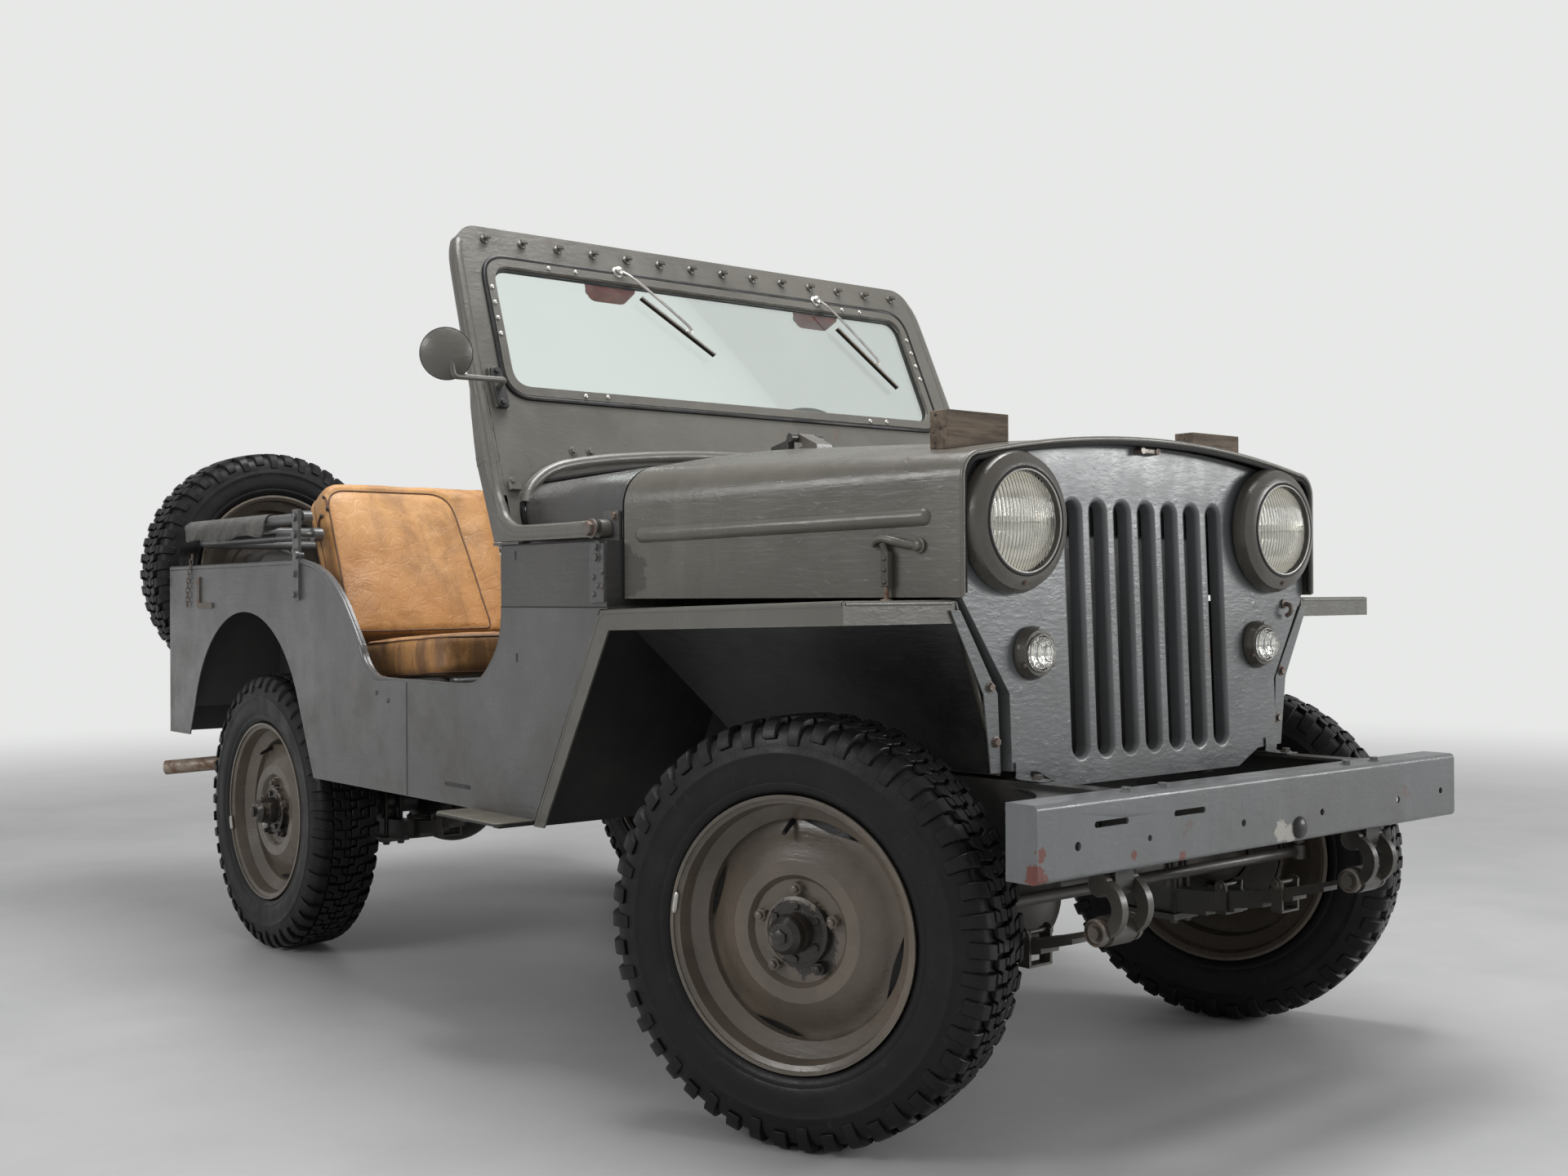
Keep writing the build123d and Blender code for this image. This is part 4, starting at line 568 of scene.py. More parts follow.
def make_stage():
    """A pale floor that fades into the background, two soft lamps and the photo's camera."""
    scene = bpy.context.scene
    scene.view_settings.view_transform = "Standard"
    pale = (0.80, 0.81, 0.80)
    floor = Finish("floor")
    colour = floor.mix(
        floor.ramp(floor.noise(1.1, 6, 0.65), 0.35, 0.7), (0.50, 0.505, 0.50), (0.43, 0.435, 0.435)
    )
    floor.set(Base_Color=colour, Roughness=0.45, Normal=floor.bump(floor.noise(9, 5), 0.002))
    glow = floor.node("Emission")
    floor.feed(glow.inputs["Color"], pale)
    away = floor.node("VectorMath", operation="LENGTH")
    floor.feed(away.inputs[0], floor.place)
    fade = floor.ramp(away.outputs["Value"], 3.2, 9.0)
    disc = Shape()
    disc.add(circle(Vector(), FLOOR_RADIUS, FLOOR_STEPS, X, Y), [range(FLOOR_STEPS)])
    mesh = disc.mesh("floor")
    mesh.materials.append(floor.show(floor.join(fade, floor.shader.outputs[0], glow.outputs[0])))
    ground = bpy.data.objects.new("floor", mesh)
    scene.collection.objects.link(ground)

    world = bpy.data.worlds.new("world")
    scene.world = world
    world.use_nodes = True
    tree = world.node_tree
    shade = tree.nodes["Background"]
    shade.inputs["Color"].default_value = (1, 1, 1, 1)
    shade.inputs["Strength"].default_value = 0.46
    seen = tree.nodes.new("ShaderNodeBackground")
    seen.inputs["Color"].default_value = (*pale, 1)
    seen.inputs["Strength"].default_value = 1.0
    path = tree.nodes.new("ShaderNodeLightPath")
    choose = tree.nodes.new("ShaderNodeMixShader")
    tree.links.new(path.outputs["Is Camera Ray"], choose.inputs[0])
    tree.links.new(shade.outputs[0], choose.inputs[1])
    tree.links.new(seen.outputs[0], choose.inputs[2])
    tree.links.new(choose.outputs[0], tree.nodes["World Output"].inputs["Surface"])

    # Soft lamps: name, place, target, width, power
    for name, place, target, width, power in (
        ("overhead", (0.2, -0.4, 4.4), (0, 0, 0.8), 2.6, 150),
        ("front_window", (4.4, -5.4, 2.4), (0, -1.0, 0.8), 2.6, 170),
        ("right_side", (-5.2, -0.2, 3.0), (0, 0.2, 0.7), 2.2, 75),
    ):
        lamp = bpy.data.lights.new(name, "AREA")
        lamp.shape = "RECTANGLE"
        lamp.size = width
        lamp.size_y = width * 0.6
        lamp.energy = power
        holder = bpy.data.objects.new(name, lamp)
        scene.collection.objects.link(holder)
        holder.location = place
        holder.rotation_euler = (Vector(target) - Vector(place)).to_track_quat("-Z", "Y").to_euler()

    # The photo's camera: place, heading from +Y towards +X, pitch, roll and lens
    place, heading, pitch, roll = Vector((-2.4015, -3.2641, 0.8981)), 0.6942, 0.0042, -0.0052
    forward = Vector(
        (math.sin(heading) * math.cos(pitch), math.cos(heading) * math.cos(pitch), math.sin(pitch))
    )
    right = Vector((math.cos(heading), -math.sin(heading), 0))
    up = right.cross(forward)
    right, up = right * math.cos(roll) + up * math.sin(roll), up * math.cos(roll) - right * math.sin(roll)
    camera = bpy.data.objects.new("camera", bpy.data.cameras.new("camera"))
    camera.data.lens = 38.235
    camera.data.sensor_width = 36
    turned = Matrix((right, up, -forward)).transposed().to_4x4()
    camera.matrix_world = Matrix.Translation(place) @ turned
    scene.collection.objects.link(camera)
    scene.camera = camera


# Carried-over nodes


def dress(node, finish, round_mm=0.0, limit=32):
    """Give a node its finish, smooth shading and softly rounded edges, with its mesh left as it is."""
    piece = nodes[node]
    mesh = piece.data
    mesh.materials.clear()
    mesh.materials.append(finish)
    if "custom_normal" in mesh.attributes:
        mesh.attributes.remove(mesh.attributes["custom_normal"])
    mesh.polygons.foreach_set("use_smooth", [True] * len(mesh.polygons))
    weld = piece.modifiers.new("weld", "WELD")
    weld.merge_threshold = 0.00001
    if round_mm:
        soften = piece.modifiers.new("soften", "BEVEL")
        soften.width = round_mm / 1000
        soften.segments = 2
        soften.limit_method = "ANGLE"
        soften.angle_limit = math.radians(limit)
        soften.harden_normals = True
    else:
        split = piece.modifiers.new("split", "EDGE_SPLIT")
        split.split_angle = math.radians(limit)


def dress_nodes():
    """Finishes of the nodes that stay: finish, edge rounding in millimetres, names."""
    for finish, rounding, names in (
        (BODY, 0.8, ("tub", "body_brackets")),
        (COWL_PAINTED_SHADE, 0.8, ("cowl",)),
        (SCREEN, 0.8, ("windscreen_frame",)),
        (FENDER, 1.2, ("fender_right", "fender_left")),
        (HOOD, 0.8, ("hood_panel",)),
        (FRONT_PAINT_BLUE_REFLECTION, 1.2, ("grille_shell", "front_bumper")),
        (BEZEL, 0.0, ("lamp_bodies",)),
        (CHASSIS, 0.0, ("leaf_springs", "front_axle", "steering_column")),
        (CHASSIS, 0.0, ("knuckle_right", "knuckle_left", "tie_rod")),
        (UNDER, 0.0, ("frame_rails", "rear_axle", "prop_shafts", "fuel_tank")),
        (BODY, 0.0, ("top_bow_upper", "top_bow_lower", "seat_frames")),
        (WHEEL, 0.0, ("spare_wheel", *(f"wheel_{corner}" for corner in CORNERS))),
        (IRON, 0.0, ("engine_block", "radiator")),
        (PIPE, 0.0, ("exhaust",)),
        (LENS, 0.0, ("lamp_lenses",)),
        (GLASS, 0.0, ("windscreen_glass",)),
        (BLACK, 0.0, ("steering_wheel", "controls")),
        (WOOD, 1.5, ("hood_blocks",)),
        (SCREEN, 0.0, ("mirror",)),
        (SEAT, 0.0, ("seat_cushions", "seat_backs")),
        (CANVAS, 0.0, ("canvas_flap",)),
        (TYRE, 0.0, ("spare_tyre", *(f"tyre_{corner}" for corner in CORNERS))),
    ):
        for name in names:
            if not nodes[name].hide_render:
                dress(name, finish, rounding)


# Tyres

LUG_COUNT = 46
CARCASS_STEPS = 144
TREAD_ROOT = 0.3385
# Tread blocks: (distance round, distance across) of their corners
STEP_BLOCK = (
    (0.001, 0.002), (0.020, 0.002), (0.024, 0.0165), (0.043, 0.0165), (0.043, 0.0215),
    (0.0455, 0.0425), (0.0285, 0.0425), (0.0205, 0.0235), (0.003, 0.0235),
)
SLIVER = ((0.028, 0.0010), (0.041, 0.0010), (0.043, 0.0125), (0.030, 0.0125))
TIE_BLOCK = ((0.0035, 0.0275), (0.018, 0.0275), (0.024, 0.0430), (0.006, 0.0430))
# Side wall: (radius, half width) from the bead to the tread
CARCASS = (
    (0.2290, 0.0745), (0.2360, 0.0790), (0.2420, 0.0812), (0.2450, 0.0806), (0.2480, 0.0822), (0.262, 0.0842),
    (0.2780, 0.0850), (0.2880, 0.0852), (0.2905, 0.0862), (0.2935, 0.0862), (0.2960, 0.0850), (0.306, 0.0838),
    (0.3160, 0.0812), (0.3260, 0.0772), (0.3340, 0.0715), (0.3390, 0.0640), (0.3405, 0.0520), (0.341, 0.0250),
)


def tyre_mesh():
    """A cross-country tyre about the X axis, with moulded rings, shoulder lugs and stepped blocks."""
    shape = Shape()
    inner = [(0.2260, 0.0700), (0.2160, 0.0600), (0.2120, 0.0400)]
    loop = [*CARCASS, (0.3410, 0.0)] + [(r, -w) for r, w in reversed(CARCASS)]
    loop += [(r, -w) for r, w in inner] + [(r, w) for r, w in reversed(inner)]

    def at(u, w, r):
        """A point from the distance round the tread, the distance across it and the radius."""
        a = u / TYRE_RADIUS
        return Vector((w, r * math.cos(a), r * math.sin(a)))

    whole_turn = math.tau * TYRE_RADIUS
    turns = [whole_turn * i / CARCASS_STEPS for i in range(CARCASS_STEPS)]
    shape.rings([[at(u, w, r) for r, w in loop] for u in turns], loop=True)
    blocks = Shape()
    pitch = whole_turn / LUG_COUNT

    def raised(outline, u0, side, crown):
        """A tread block from an outline of (distance round, distance across)."""
        base = [at(u0 + u, side * w, TREAD_ROOT) for u, w in outline]
        lid = [at(u0 + u, side * w, TYRE_RADIUS - crown * (w / 0.05) ** 2) for u, w in outline]
        blocks.rings([base, lid])

    # Shoulder lug across the corner: (distance across, radius) outside, then back along its root
    for side in (-1, 1):
        for n in range(LUG_COUNT):
            u0 = pitch * (n + (0.5 if side > 0 else 0.0))
            long = n % 2 == 0
            foot = (0.0868, 0.3060) if long else (0.0862, 0.3170)
            outer = [
                (0.0490, 0.3502), (0.0640, 0.3492), (0.0730, 0.3455), (0.0800, 0.3370), (0.0852, 0.3240), foot,
            ]
            root = [
                (0.0818, foot[1]), (0.0760, 0.3240), (0.0690, 0.3330), (0.0600, 0.3380), (0.0490, TREAD_ROOT),
            ]
            section = outer + root
            start, end = 0.003, 0.030 if long else 0.027
            first, last = [], []
            for k, (w, r) in enumerate(section):
                lean = 0.006 * (w - 0.049) / 0.036
                flare = 0.0 if k < len(outer) else 0.002
                first.append(at(u0 + start + lean - flare, side * w, r))
                last.append(at(u0 + end + lean * (0.2 if long else 1.3) + flare, side * w, r))
            blocks.rings([first, last])
            # Blocks between the lug and the centre line
            for outline, crown in ((STEP_BLOCK, 0.0008), (SLIVER, 0.0004), (TIE_BLOCK, 0.0008)):
                raised(outline, u0 + 0.006, side, crown)
    mesh = blocks.mesh("tread")
    outward(mesh)
    bevelled(mesh, 0.0012, 1, 25)
    shape.add([v.co for v in mesh.vertices], [tuple(p.vertices) for p in mesh.polygons])
    bpy.data.meshes.remove(mesh)
    whole = shape.mesh("tyre")
    outward(whole)
    smoothed(whole, 34)
    whole.materials.append(TYRE)
    return whole


def wheel_frame(name):
    """Matrix that puts a wheel built about X, outboard to +X, in its place on the car."""
    if name == "spare":
        axis, centre = Y, SPARE_CENTRE
    else:
        side = 1 if name.endswith("left") else -1
        front = name.startswith("front")
        turn = STEER_AT_REST if front else 0
        axis = Vector((side * math.cos(turn), side * math.sin(turn), 0))
        centre = Vector((side * TRACK / 2, REAR_AXLE_Y, HUB_Z))
        if front:
            centre = Vector((side * KINGPIN_X, FRONT_AXLE_Y, HUB_Z)) + axis * (TRACK / 2 - KINGPIN_X)
    along = Z.cross(axis)
    return Matrix.Translation(centre) @ Matrix((axis, along, Z)).transposed().to_4x4()


def make_tyres():
    """The five tyres, each turned a little further round."""
    mesh = tyre_mesh()
    turns = {"front_right": 0.03, "front_left": 0.6, "rear_right": 1.1, "rear_left": 1.9, "spare": 0.4}
    for name, turn in turns.items():
        placed = mesh.copy()
        placed.transform(wheel_frame(name) @ Matrix.Rotation(turn, 4, "X"))
        piece = bpy.data.objects.new(f"tread_{name}", placed)
        bpy.context.scene.collection.objects.link(piece)
        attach(piece, "chassis" if name == "spare" else f"wheel_{name}")
        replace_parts(piece, "spare_tyre" if name == "spare" else f"tyre_{name}")


# Soft goods


def rounded(corners, radii, steps=5):
    """A closed outline with its corners rounded. Radii are one for each corner."""
    outline = []
    count = len(corners)
    for i, radius in enumerate(radii):
        corner = Vector(corners[i])
        start = corner + (Vector(corners[i - 1]) - corner).normalized() * radius
        end = corner + (Vector(corners[(i + 1) % count]) - corner).normalized() * radius
        for k in range(steps + 1):
            t = k / steps
            outline.append(start * (1 - t) ** 2 + corner * 2 * t * (1 - t) + end * t**2)
    return outline


def oblong(wide, high, radius, steps):
    """A rectangle about the origin with rounded corners."""
    x, y = wide / 2, high / 2
    return rounded(((-x, -y), (x, -y), (x, y), (-x, y)), (radius,) * 4, steps)


def applied(piece):
    """A piece's mesh with its modifiers applied."""
    bpy.context.view_layer.update()
    graph = bpy.context.evaluated_depsgraph_get()
    return bpy.data.meshes.new_from_object(piece.evaluated_get(graph))


def spread(path, gap):
    """Evenly spaced points round a closed path."""
    points = []
    for i, a in enumerate(path):
        b = path[(i + 1) % len(path)]
        n = max(1, round((b - a).length / gap))
        points += [a.lerp(b, k / n) for k in range(n)]
    return points


def swell(shape, seams, pressure, cap, voxel=0.009, frames=14):
    """Blow a closed form up as cloth that is sewn down along its seams, each point within a cap."""
    scene = bpy.context.scene
    piece = bpy.data.objects.new("form", shape.mesh("form"))
    scene.collection.objects.link(piece)
    remesh = piece.modifiers.new("remesh", "REMESH")
    remesh.mode = "VOXEL"
    remesh.voxel_size = voxel
    even = applied(piece)
    piece.modifiers.clear()
    piece.data = even
    sewn = [point for seam in seams for point in spread(seam, 0.006)]
    tree = KDTree(len(sewn))
    for i, point in enumerate(sewn):
        tree.insert(point, i)
    tree.balance()
    start = [v.co.copy() for v in even.vertices]
    away = [tree.find(co)[2] for co in start]
    moved = start
    held = piece.vertex_groups.new(name="held")
    for i, distance in enumerate(away):
        if distance < 0.014:
            held.add([i], 1.0 if distance < 0.007 else 0.5, "REPLACE")
    cloth = piece.modifiers.new("cloth", "CLOTH")
    cloth.settings.vertex_group_mass = "held"
    cloth.settings.use_pressure = True
    cloth.settings.uniform_pressure_force = pressure
    cloth.settings.effector_weights.gravity = 0
    cloth.settings.quality = 5
    cloth.settings.bending_stiffness = 0.3
    for frame_number in range(1, frames + 1):
        scene.frame_set(frame_number)
    result = applied(piece)
    moved = [v.co.copy() for v in result.vertices]
    scene.frame_set(1)
    normals = [v.normal.copy() for v in even.vertices]
    for i, vertex in enumerate(even.vertices):
        step = moved[i] - start[i]
        if step.length > cap:
            step = step.normalized() * cap
        crease = noise.noise(start[i] * 9) * 0.0035 + noise.noise(start[i] * 24) * 0.0012
        tuck = 0.004 * max(0.0, 1 - away[i] / 0.012)
        vertex.co = start[i] + step + normals[i] * (crease * min(1, away[i] / 0.03) - tuck)
    bpy.data.objects.remove(piece)
    return even


def sewn_block(name, outline, origin, x_dir, up, depth, cap, side_seam, panel=()):
    """A stuffed seat part: an outline raised by its depth, swollen between piped seams."""
    normal = x_dir.cross(up).normalized()
    shape = Shape()
    rings = []
    middle = sum((Vector(p) for p in outline), Vector((0, 0))) / len(outline)
    foot = ((0, 0.010), (0.004, 0.003), (0.010, 0))
    for level, inset in foot + tuple((depth - low, inset) for low, inset in reversed(foot)):
        flat = [Vector(p) + (middle - Vector(p)).normalized() * inset for p in outline]
        rings.append([origin + x_dir * q.x + up * q.y + normal * level for q in flat])
    shape.rings(rings)
    front = [origin + x_dir * q.x + up * q.y for q in panel]
    edges = [front or rings[1], rings[4]]
    if side_seam:
        edges.append([a.lerp(b, side_seam) for a, b in zip(rings[2], rings[3])])
    mesh = swell(shape, edges, 3.5, cap)
    surface = BVHTree.FromPolygons([v.co for v in mesh.vertices], [tuple(p.vertices) for p in mesh.polygons])
    cover = piece_of(mesh, name, SEAT if panel else CUSHION, "chassis", 180)
    smooth = cover.modifiers.new("smooth", "SUBSURF")
    smooth.levels = smooth.render_levels = 1
    cord = Shape()
    for seam, radius in zip(edges, (0.0020, 0.0020, 0.0012)):
        path = []
        for point in spread(seam, 0.012):
            place, facing, _, _ = surface.find_nearest(point)
            path.append(place + facing * radius * 0.5)
        path = [(path[i - 1] + path[i] * 2 + path[(i + 1) % len(path)]) / 4 for i in range(len(path))]
        cord.tube(path, radius, 8, loop=True)
    cord.make(f"{name}_piping", PIPING, "chassis", "seat_cover")
    return cover, surface


SEAT_X, SEAT_HALF = 0.405, 0.231
SEAT_LEAN = math.atan(162 / 355)


def make_seats():
    """Front seats: boxed cushions and leaning backs in tan covers with piped seams."""
    up = Vector((0, math.sin(SEAT_LEAN), math.cos(SEAT_LEAN)))
    for side, word in ((-1, "right"), (1, "left")):
        inner, outer = side * 0.245, -side * SEAT_HALF
        corners = ((inner, 0.012), (outer, 0.012), (outer, 0.424), (inner, 0.428))
        back = rounded(corners, (0.03, 0.03, 0.05, 0.02), 7)
        # Piped front panel, narrower than the back
        corners = ((side * 0.156, 0.020), (outer, 0.016), (outer * 0.96, 0.402), (side * 0.118, 0.402))
        panel = rounded(corners, (0.02, 0.02, 0.05, 0.06), 7)
        origin = Vector((side * SEAT_X, 0.480, 0.800))
        cover, surface = sewn_block(
            f"seat_back_{word}", back, origin, -X, up, 0.104, 0.013, 0.68, panel
        )
        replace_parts(cover, "seat_backs")
        corners = ((-SEAT_HALF, 0), (SEAT_HALF, 0), (SEAT_HALF, 0.41), (-SEAT_HALF, 0.41))
        seat = rounded(corners, (0.04, 0.04, 0.03, 0.03), 6)
        slope = Vector((0, 1, -0.062)).normalized()
        base = Vector((side * SEAT_X, 0.030, 0.726))
        cushion, _ = sewn_block(f"seat_cushion_{word}", seat, base, X, slope, 0.090, 0.013, 0)
        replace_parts(cushion, "seat_cushions")
        # Two short straps on the back's outer side, each from its stud
        straps, studs = Shape(), Shape()
        edge_x = side * (SEAT_X + 0.2405)
        for start, end, sag in (
            ((0.600, 1.128), (0.632, 1.150), -0.022), ((0.640, 1.100), (0.655, 1.040), 0.020),
        ):
            path = []
            for k in range(9):
                t = k / 8
                y = start[0] + (end[0] - start[0]) * t + sag * math.sin(math.pi * t) * 0.5
                z = start[1] + (end[1] - start[1]) * t + abs(sag) * math.sin(math.pi * t) * 0.6
                place, facing, _, _ = surface.find_nearest(Vector((edge_x, y, z)))
                path.append(place + facing * 0.003)
            straps.tube(path, 0.0026, 6)
            studs.rivet(path[0] + X * side * 0.001, X * side, 0.006)
            studs.rivet(path[-1] + X * side * 0.001, X * side, 0.005)
        straps.make(f"seat_straps_{word}", PIPING, "chassis", "seat_cover")
        studs.make(f"seat_studs_{word}", BLACK, "chassis", "black_plastic")


FLAP_ROWS, FLAP_START, FLAP_LENGTH, FLAP_HEIGHT = 60, 0.793, 0.539, 0.0585


def make_flap():
    """Canvas flap draped over the right leg of the upper bow."""
    section = (
        (-0.0245, 0.000), (-0.0240, 0.018), (-0.0225, 0.034), (-0.0165, 0.0475), (-0.0090, 0.0560),
        (0.0, FLAP_HEIGHT), (0.0090, 0.0560), (0.0165, 0.0475), (0.0225, 0.034), (0.0240, 0.020),
    )
    shape = Shape()
    for i in range(FLAP_ROWS + 1):
        y = FLAP_START + FLAP_LENGTH * i / FLAP_ROWS
        for k, (out, high) in enumerate(section):
            fall = 1 - high / FLAP_HEIGHT
            wave = noise.noise(Vector((y * 14, k * 0.35, 3.0)))
            ripple = noise.noise(Vector((y * 38, k * 0.5, 9.0)))
            x = -BOW_HALF + out + (0.009 * wave + 0.004 * ripple) * fall * (1 if out < 0 else 0.4)
            z = 1.0515 + high + 0.012 * fall * noise.noise(Vector((y * 6, 0.0 if out < 0 else 5.0, 1.0)))
            shape.verts.append((x, y, z))
    n = len(section)
    for i in range(FLAP_ROWS):
        row = range(i * n, i * n + n - 1)
        shape.faces += [(k, k + 1, n + k + 1, n + k) for k in row]
    flap = shape.make("canvas_sheet", CANVAS, "top_bow_upper", "canvas", 180)
    smooth = flap.modifiers.new("smooth", "SUBSURF")
    smooth.levels = smooth.render_levels = 1
    thick = flap.modifiers.new("thick", "SOLIDIFY")
    thick.thickness = 0.0018
    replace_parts(flap, "canvas_flap")


# Small parts


def curve(points, steps=6):
    """A smooth path through points."""
    points = [Vector(p) for p in points]
    path = []
    for i in range(len(points) - 1):
        a, b = points[max(i - 1, 0)], points[i]
        c, d = points[i + 1], points[min(i + 2, len(points) - 1)]
        for k in range(steps):
            t = k / steps
            bend = (a * 2 - b * 5 + c * 4 - d) * t**2 + (b * 3 - a - c * 3 + d) * t**3
            path.append((b * 2 + (c - a) * t + bend) / 2)
    return path + [points[-1]]


def bar(shape, path, wide, deep, across_dir=X, corners=12):
    """A rounded bar along a path, wide along one fixed direction and deep square to it."""
    rings = []
    for i, point in enumerate(path):
        heading = (path[min(i + 1, len(path) - 1)] - path[max(i - 1, 0)]).normalized()
        side_dir = (across_dir - heading * across_dir.dot(heading)).normalized()
        deep_dir = heading.cross(side_dir)
        ring = []
        for k in range(corners):
            a = math.tau * (k + 0.5) / corners
            u, v = math.cos(a), math.sin(a)
            stretch = (abs(u) ** 3 + abs(v) ** 3) ** (-1 / 3)
            ring.append(point + side_dir * wide * u * stretch + deep_dir * deep * v * stretch)
        rings.append(ring)
    shape.rings(rings)


def ring_frame(shape, outer, inner, low, high, place):
    """A flat frame between two outlines, from one level to another."""
    rings = []
    for o, i in zip(outer, inner):
        rings.append([place(*i, low), place(*o, low), place(*o, high), place(*i, high)])
    shape.rings(rings, loop=True)


def crown_line(half, low, shoulder, top, radius, steps=8):
    """Points (x, z) over a crown with round shoulders, from the right foot to the left one."""
    rise, run = top - shoulder, half - radius
    ball = (run**2 + rise**2) / (2 * rise)
    points = [(-half, low), (-half, (low + shoulder - radius) / 2)]
    for k in range(steps + 1):
        a = math.radians(90 * k / steps)
        points.append((radius - half - radius * math.cos(a), shoulder - radius + radius * math.sin(a)))
    for k in range(1, 12):
        x = -run + run * k / 12
        points.append((x, top - ball + math.sqrt(ball**2 - x**2)))
    return points + [(0, top)] + [(-x, z) for x, z in reversed(points)]


def opening(low_half, low, high_half, high, radius):
    """Outline of the windscreen's opening, a little wider at its foot."""
    corners = ((-low_half, low), (low_half, low), (high_half, high), (-high_half, high))
    return rounded(corners, (radius,) * 4, 8)


def make_screen():
    """Frame bar, cowl seal, rolled stiffener, glass frame, buttons, wipers and mirror of the windscreen."""
    frame_bar = Shape()
    leg = [
        (0.710, -0.715, 1.0215), (0.710, -0.600, 1.0205), (0.710, -0.480, 1.0205), (0.710, -0.412, 1.024),
        (0.709, -0.366, 1.044), (0.7075, -0.338, 1.080),
    ]
    leg += [on_screen(x, z, -0.013) for x, z in ((0.704, 1.13), (0.696, 1.26), (0.684, 1.45), (0.674, 1.60))]
    half_path = curve(leg + [on_screen(0.668, 1.640, -0.014), on_screen(0.660, 1.662, -0.016)], 6)
    for side in (-1, 1):
        bar(frame_bar, [Vector((side * p.x, p.y, p.z)) for p in half_path], 0.0125, 0.0165)
    # Rolled stiffener over the cowl, with open cut ends
    roll = [
        (-0.649, 1.083), (-0.636, 1.108), (-0.615, 1.130), (-0.580, 1.152), (-0.534, 1.168),
        (-0.460, 1.181), (-0.386, 1.190), (-0.270, 1.200), (-0.161, 1.206), (0, 1.209),
    ]
    roll += [(-x, z) for x, z in reversed(roll[:-1])]
    frame_bar.tube(curve([on_screen(x, z, 0.004) for x, z in roll], 4), 0.0125, 12)
    # Tapered fillers between the arm plates and the side bars
    for side in (-1, 1):
        rings = []
        for z, low_x, high_x in (
            (1.172, 0.686, 0.7216), (1.22, 0.684, 0.7165), (1.30, 0.682, 0.706), (1.38, 0.678, 0.690),
        ):
            corners = ((low_x, 0.0), (high_x, 0.0), (high_x, -0.0305), (low_x, -0.0305))
            rings.append([on_screen(side * x, z, proud) for x, proud in corners])
        frame_bar.rings(rings)
    frame_bar.make("screen_bar", SCREEN, "windscreen", "body_paint", 50)

    seals = Shape()
    crown = crown_line(0.661, 1.008, 1.133, 1.191, 0.078)
    bar(seals, [on_screen(x, z, -0.004) for x, z in crown], 0.013, 0.0055, SCREEN_OUT, 8)
    outer = opening(0.634, 1.312, 0.620, 1.630, 0.06)
    inner = opening(0.608, 1.337, 0.596, 1.606, 0.040)
    seals.tube([on_screen(*q, 0.0005) for q in outer], 0.0056, 8, loop=True)
    seals.tube([on_screen(*q, -0.010) for q in inner], 0.0045, 8, loop=True)
    seals.make("screen_seals", SEAL, "windscreen", "black_plastic")

    glass_frame = Shape()
    rim = opening(0.631, 1.315, 0.617, 1.627, 0.058)
    ring_frame(glass_frame, rim, inner, -0.002, 0.005, on_screen)
    glass_frame.make("glass_frame", SCREEN, "windscreen", "body_paint", 38, 0.002)

    fittings, screws, bolts = Shape(), Shape(), Shape()
    sides = [
        (side * (0.6165 - 0.045 * (z - 1.44)), z) for side in (-1, 1) for z in (1.450, 1.485, 1.520, 1.555)
    ]
    low = [(-0.439, 1.325), (-0.382, 1.327), (0.391, 1.324), (0.447, 1.325)]
    high = [(-0.455, 1.617), (-0.385, 1.617), (0.410, 1.617), (0.470, 1.617)]
    for x, z in low + high + sides:
        screws.rivet(on_screen(x, z, 0.005), SCREEN_OUT, 0.0058)
    screws.make("screen_screws", STEEL, "windscreen", "bright_steel")
    for n in range(14):
        spot = on_screen(-0.600 + 1.2 * n / 13, 1.668, 0.001)
        button = ((0.010, 0), (0.010, 0.002), (0.007, 0.004), (0.0045, 0.004), (0.0045, 0.010), (0, 0.011))
        fittings.turn(button, spot, SCREEN_OUT, 12)
        fittings.block(spot + SCREEN_OUT * 0.012, (0.017, 0.008, 0.004), X, SCREEN_OUT, 0.001)
    fittings.make("screen_fittings", BEZEL, "windscreen", "rusty_steel")
    for x, z in ((-0.502, 1.202), (-0.459, 1.202), (0.459, 1.202), (0.502, 1.202)):
        bolts.bolt(on_screen(x, z, 0.0005), SCREEN_OUT, 0.0075)
    # Small hinge on each side beside the lower corner
    for side in (-1, 1):
        bolts.block(on_screen(side * 0.668, 1.118, 0.006), (0.026, 0.018, 0.010), X, SCREEN_OUT, 0.002)
        bolts.bolt(on_screen(side * 0.672, 1.128, 0.008), SCREEN_OUT, 0.006)
    bolts.make("screen_bolts", SCREEN, "windscreen", "body_paint")

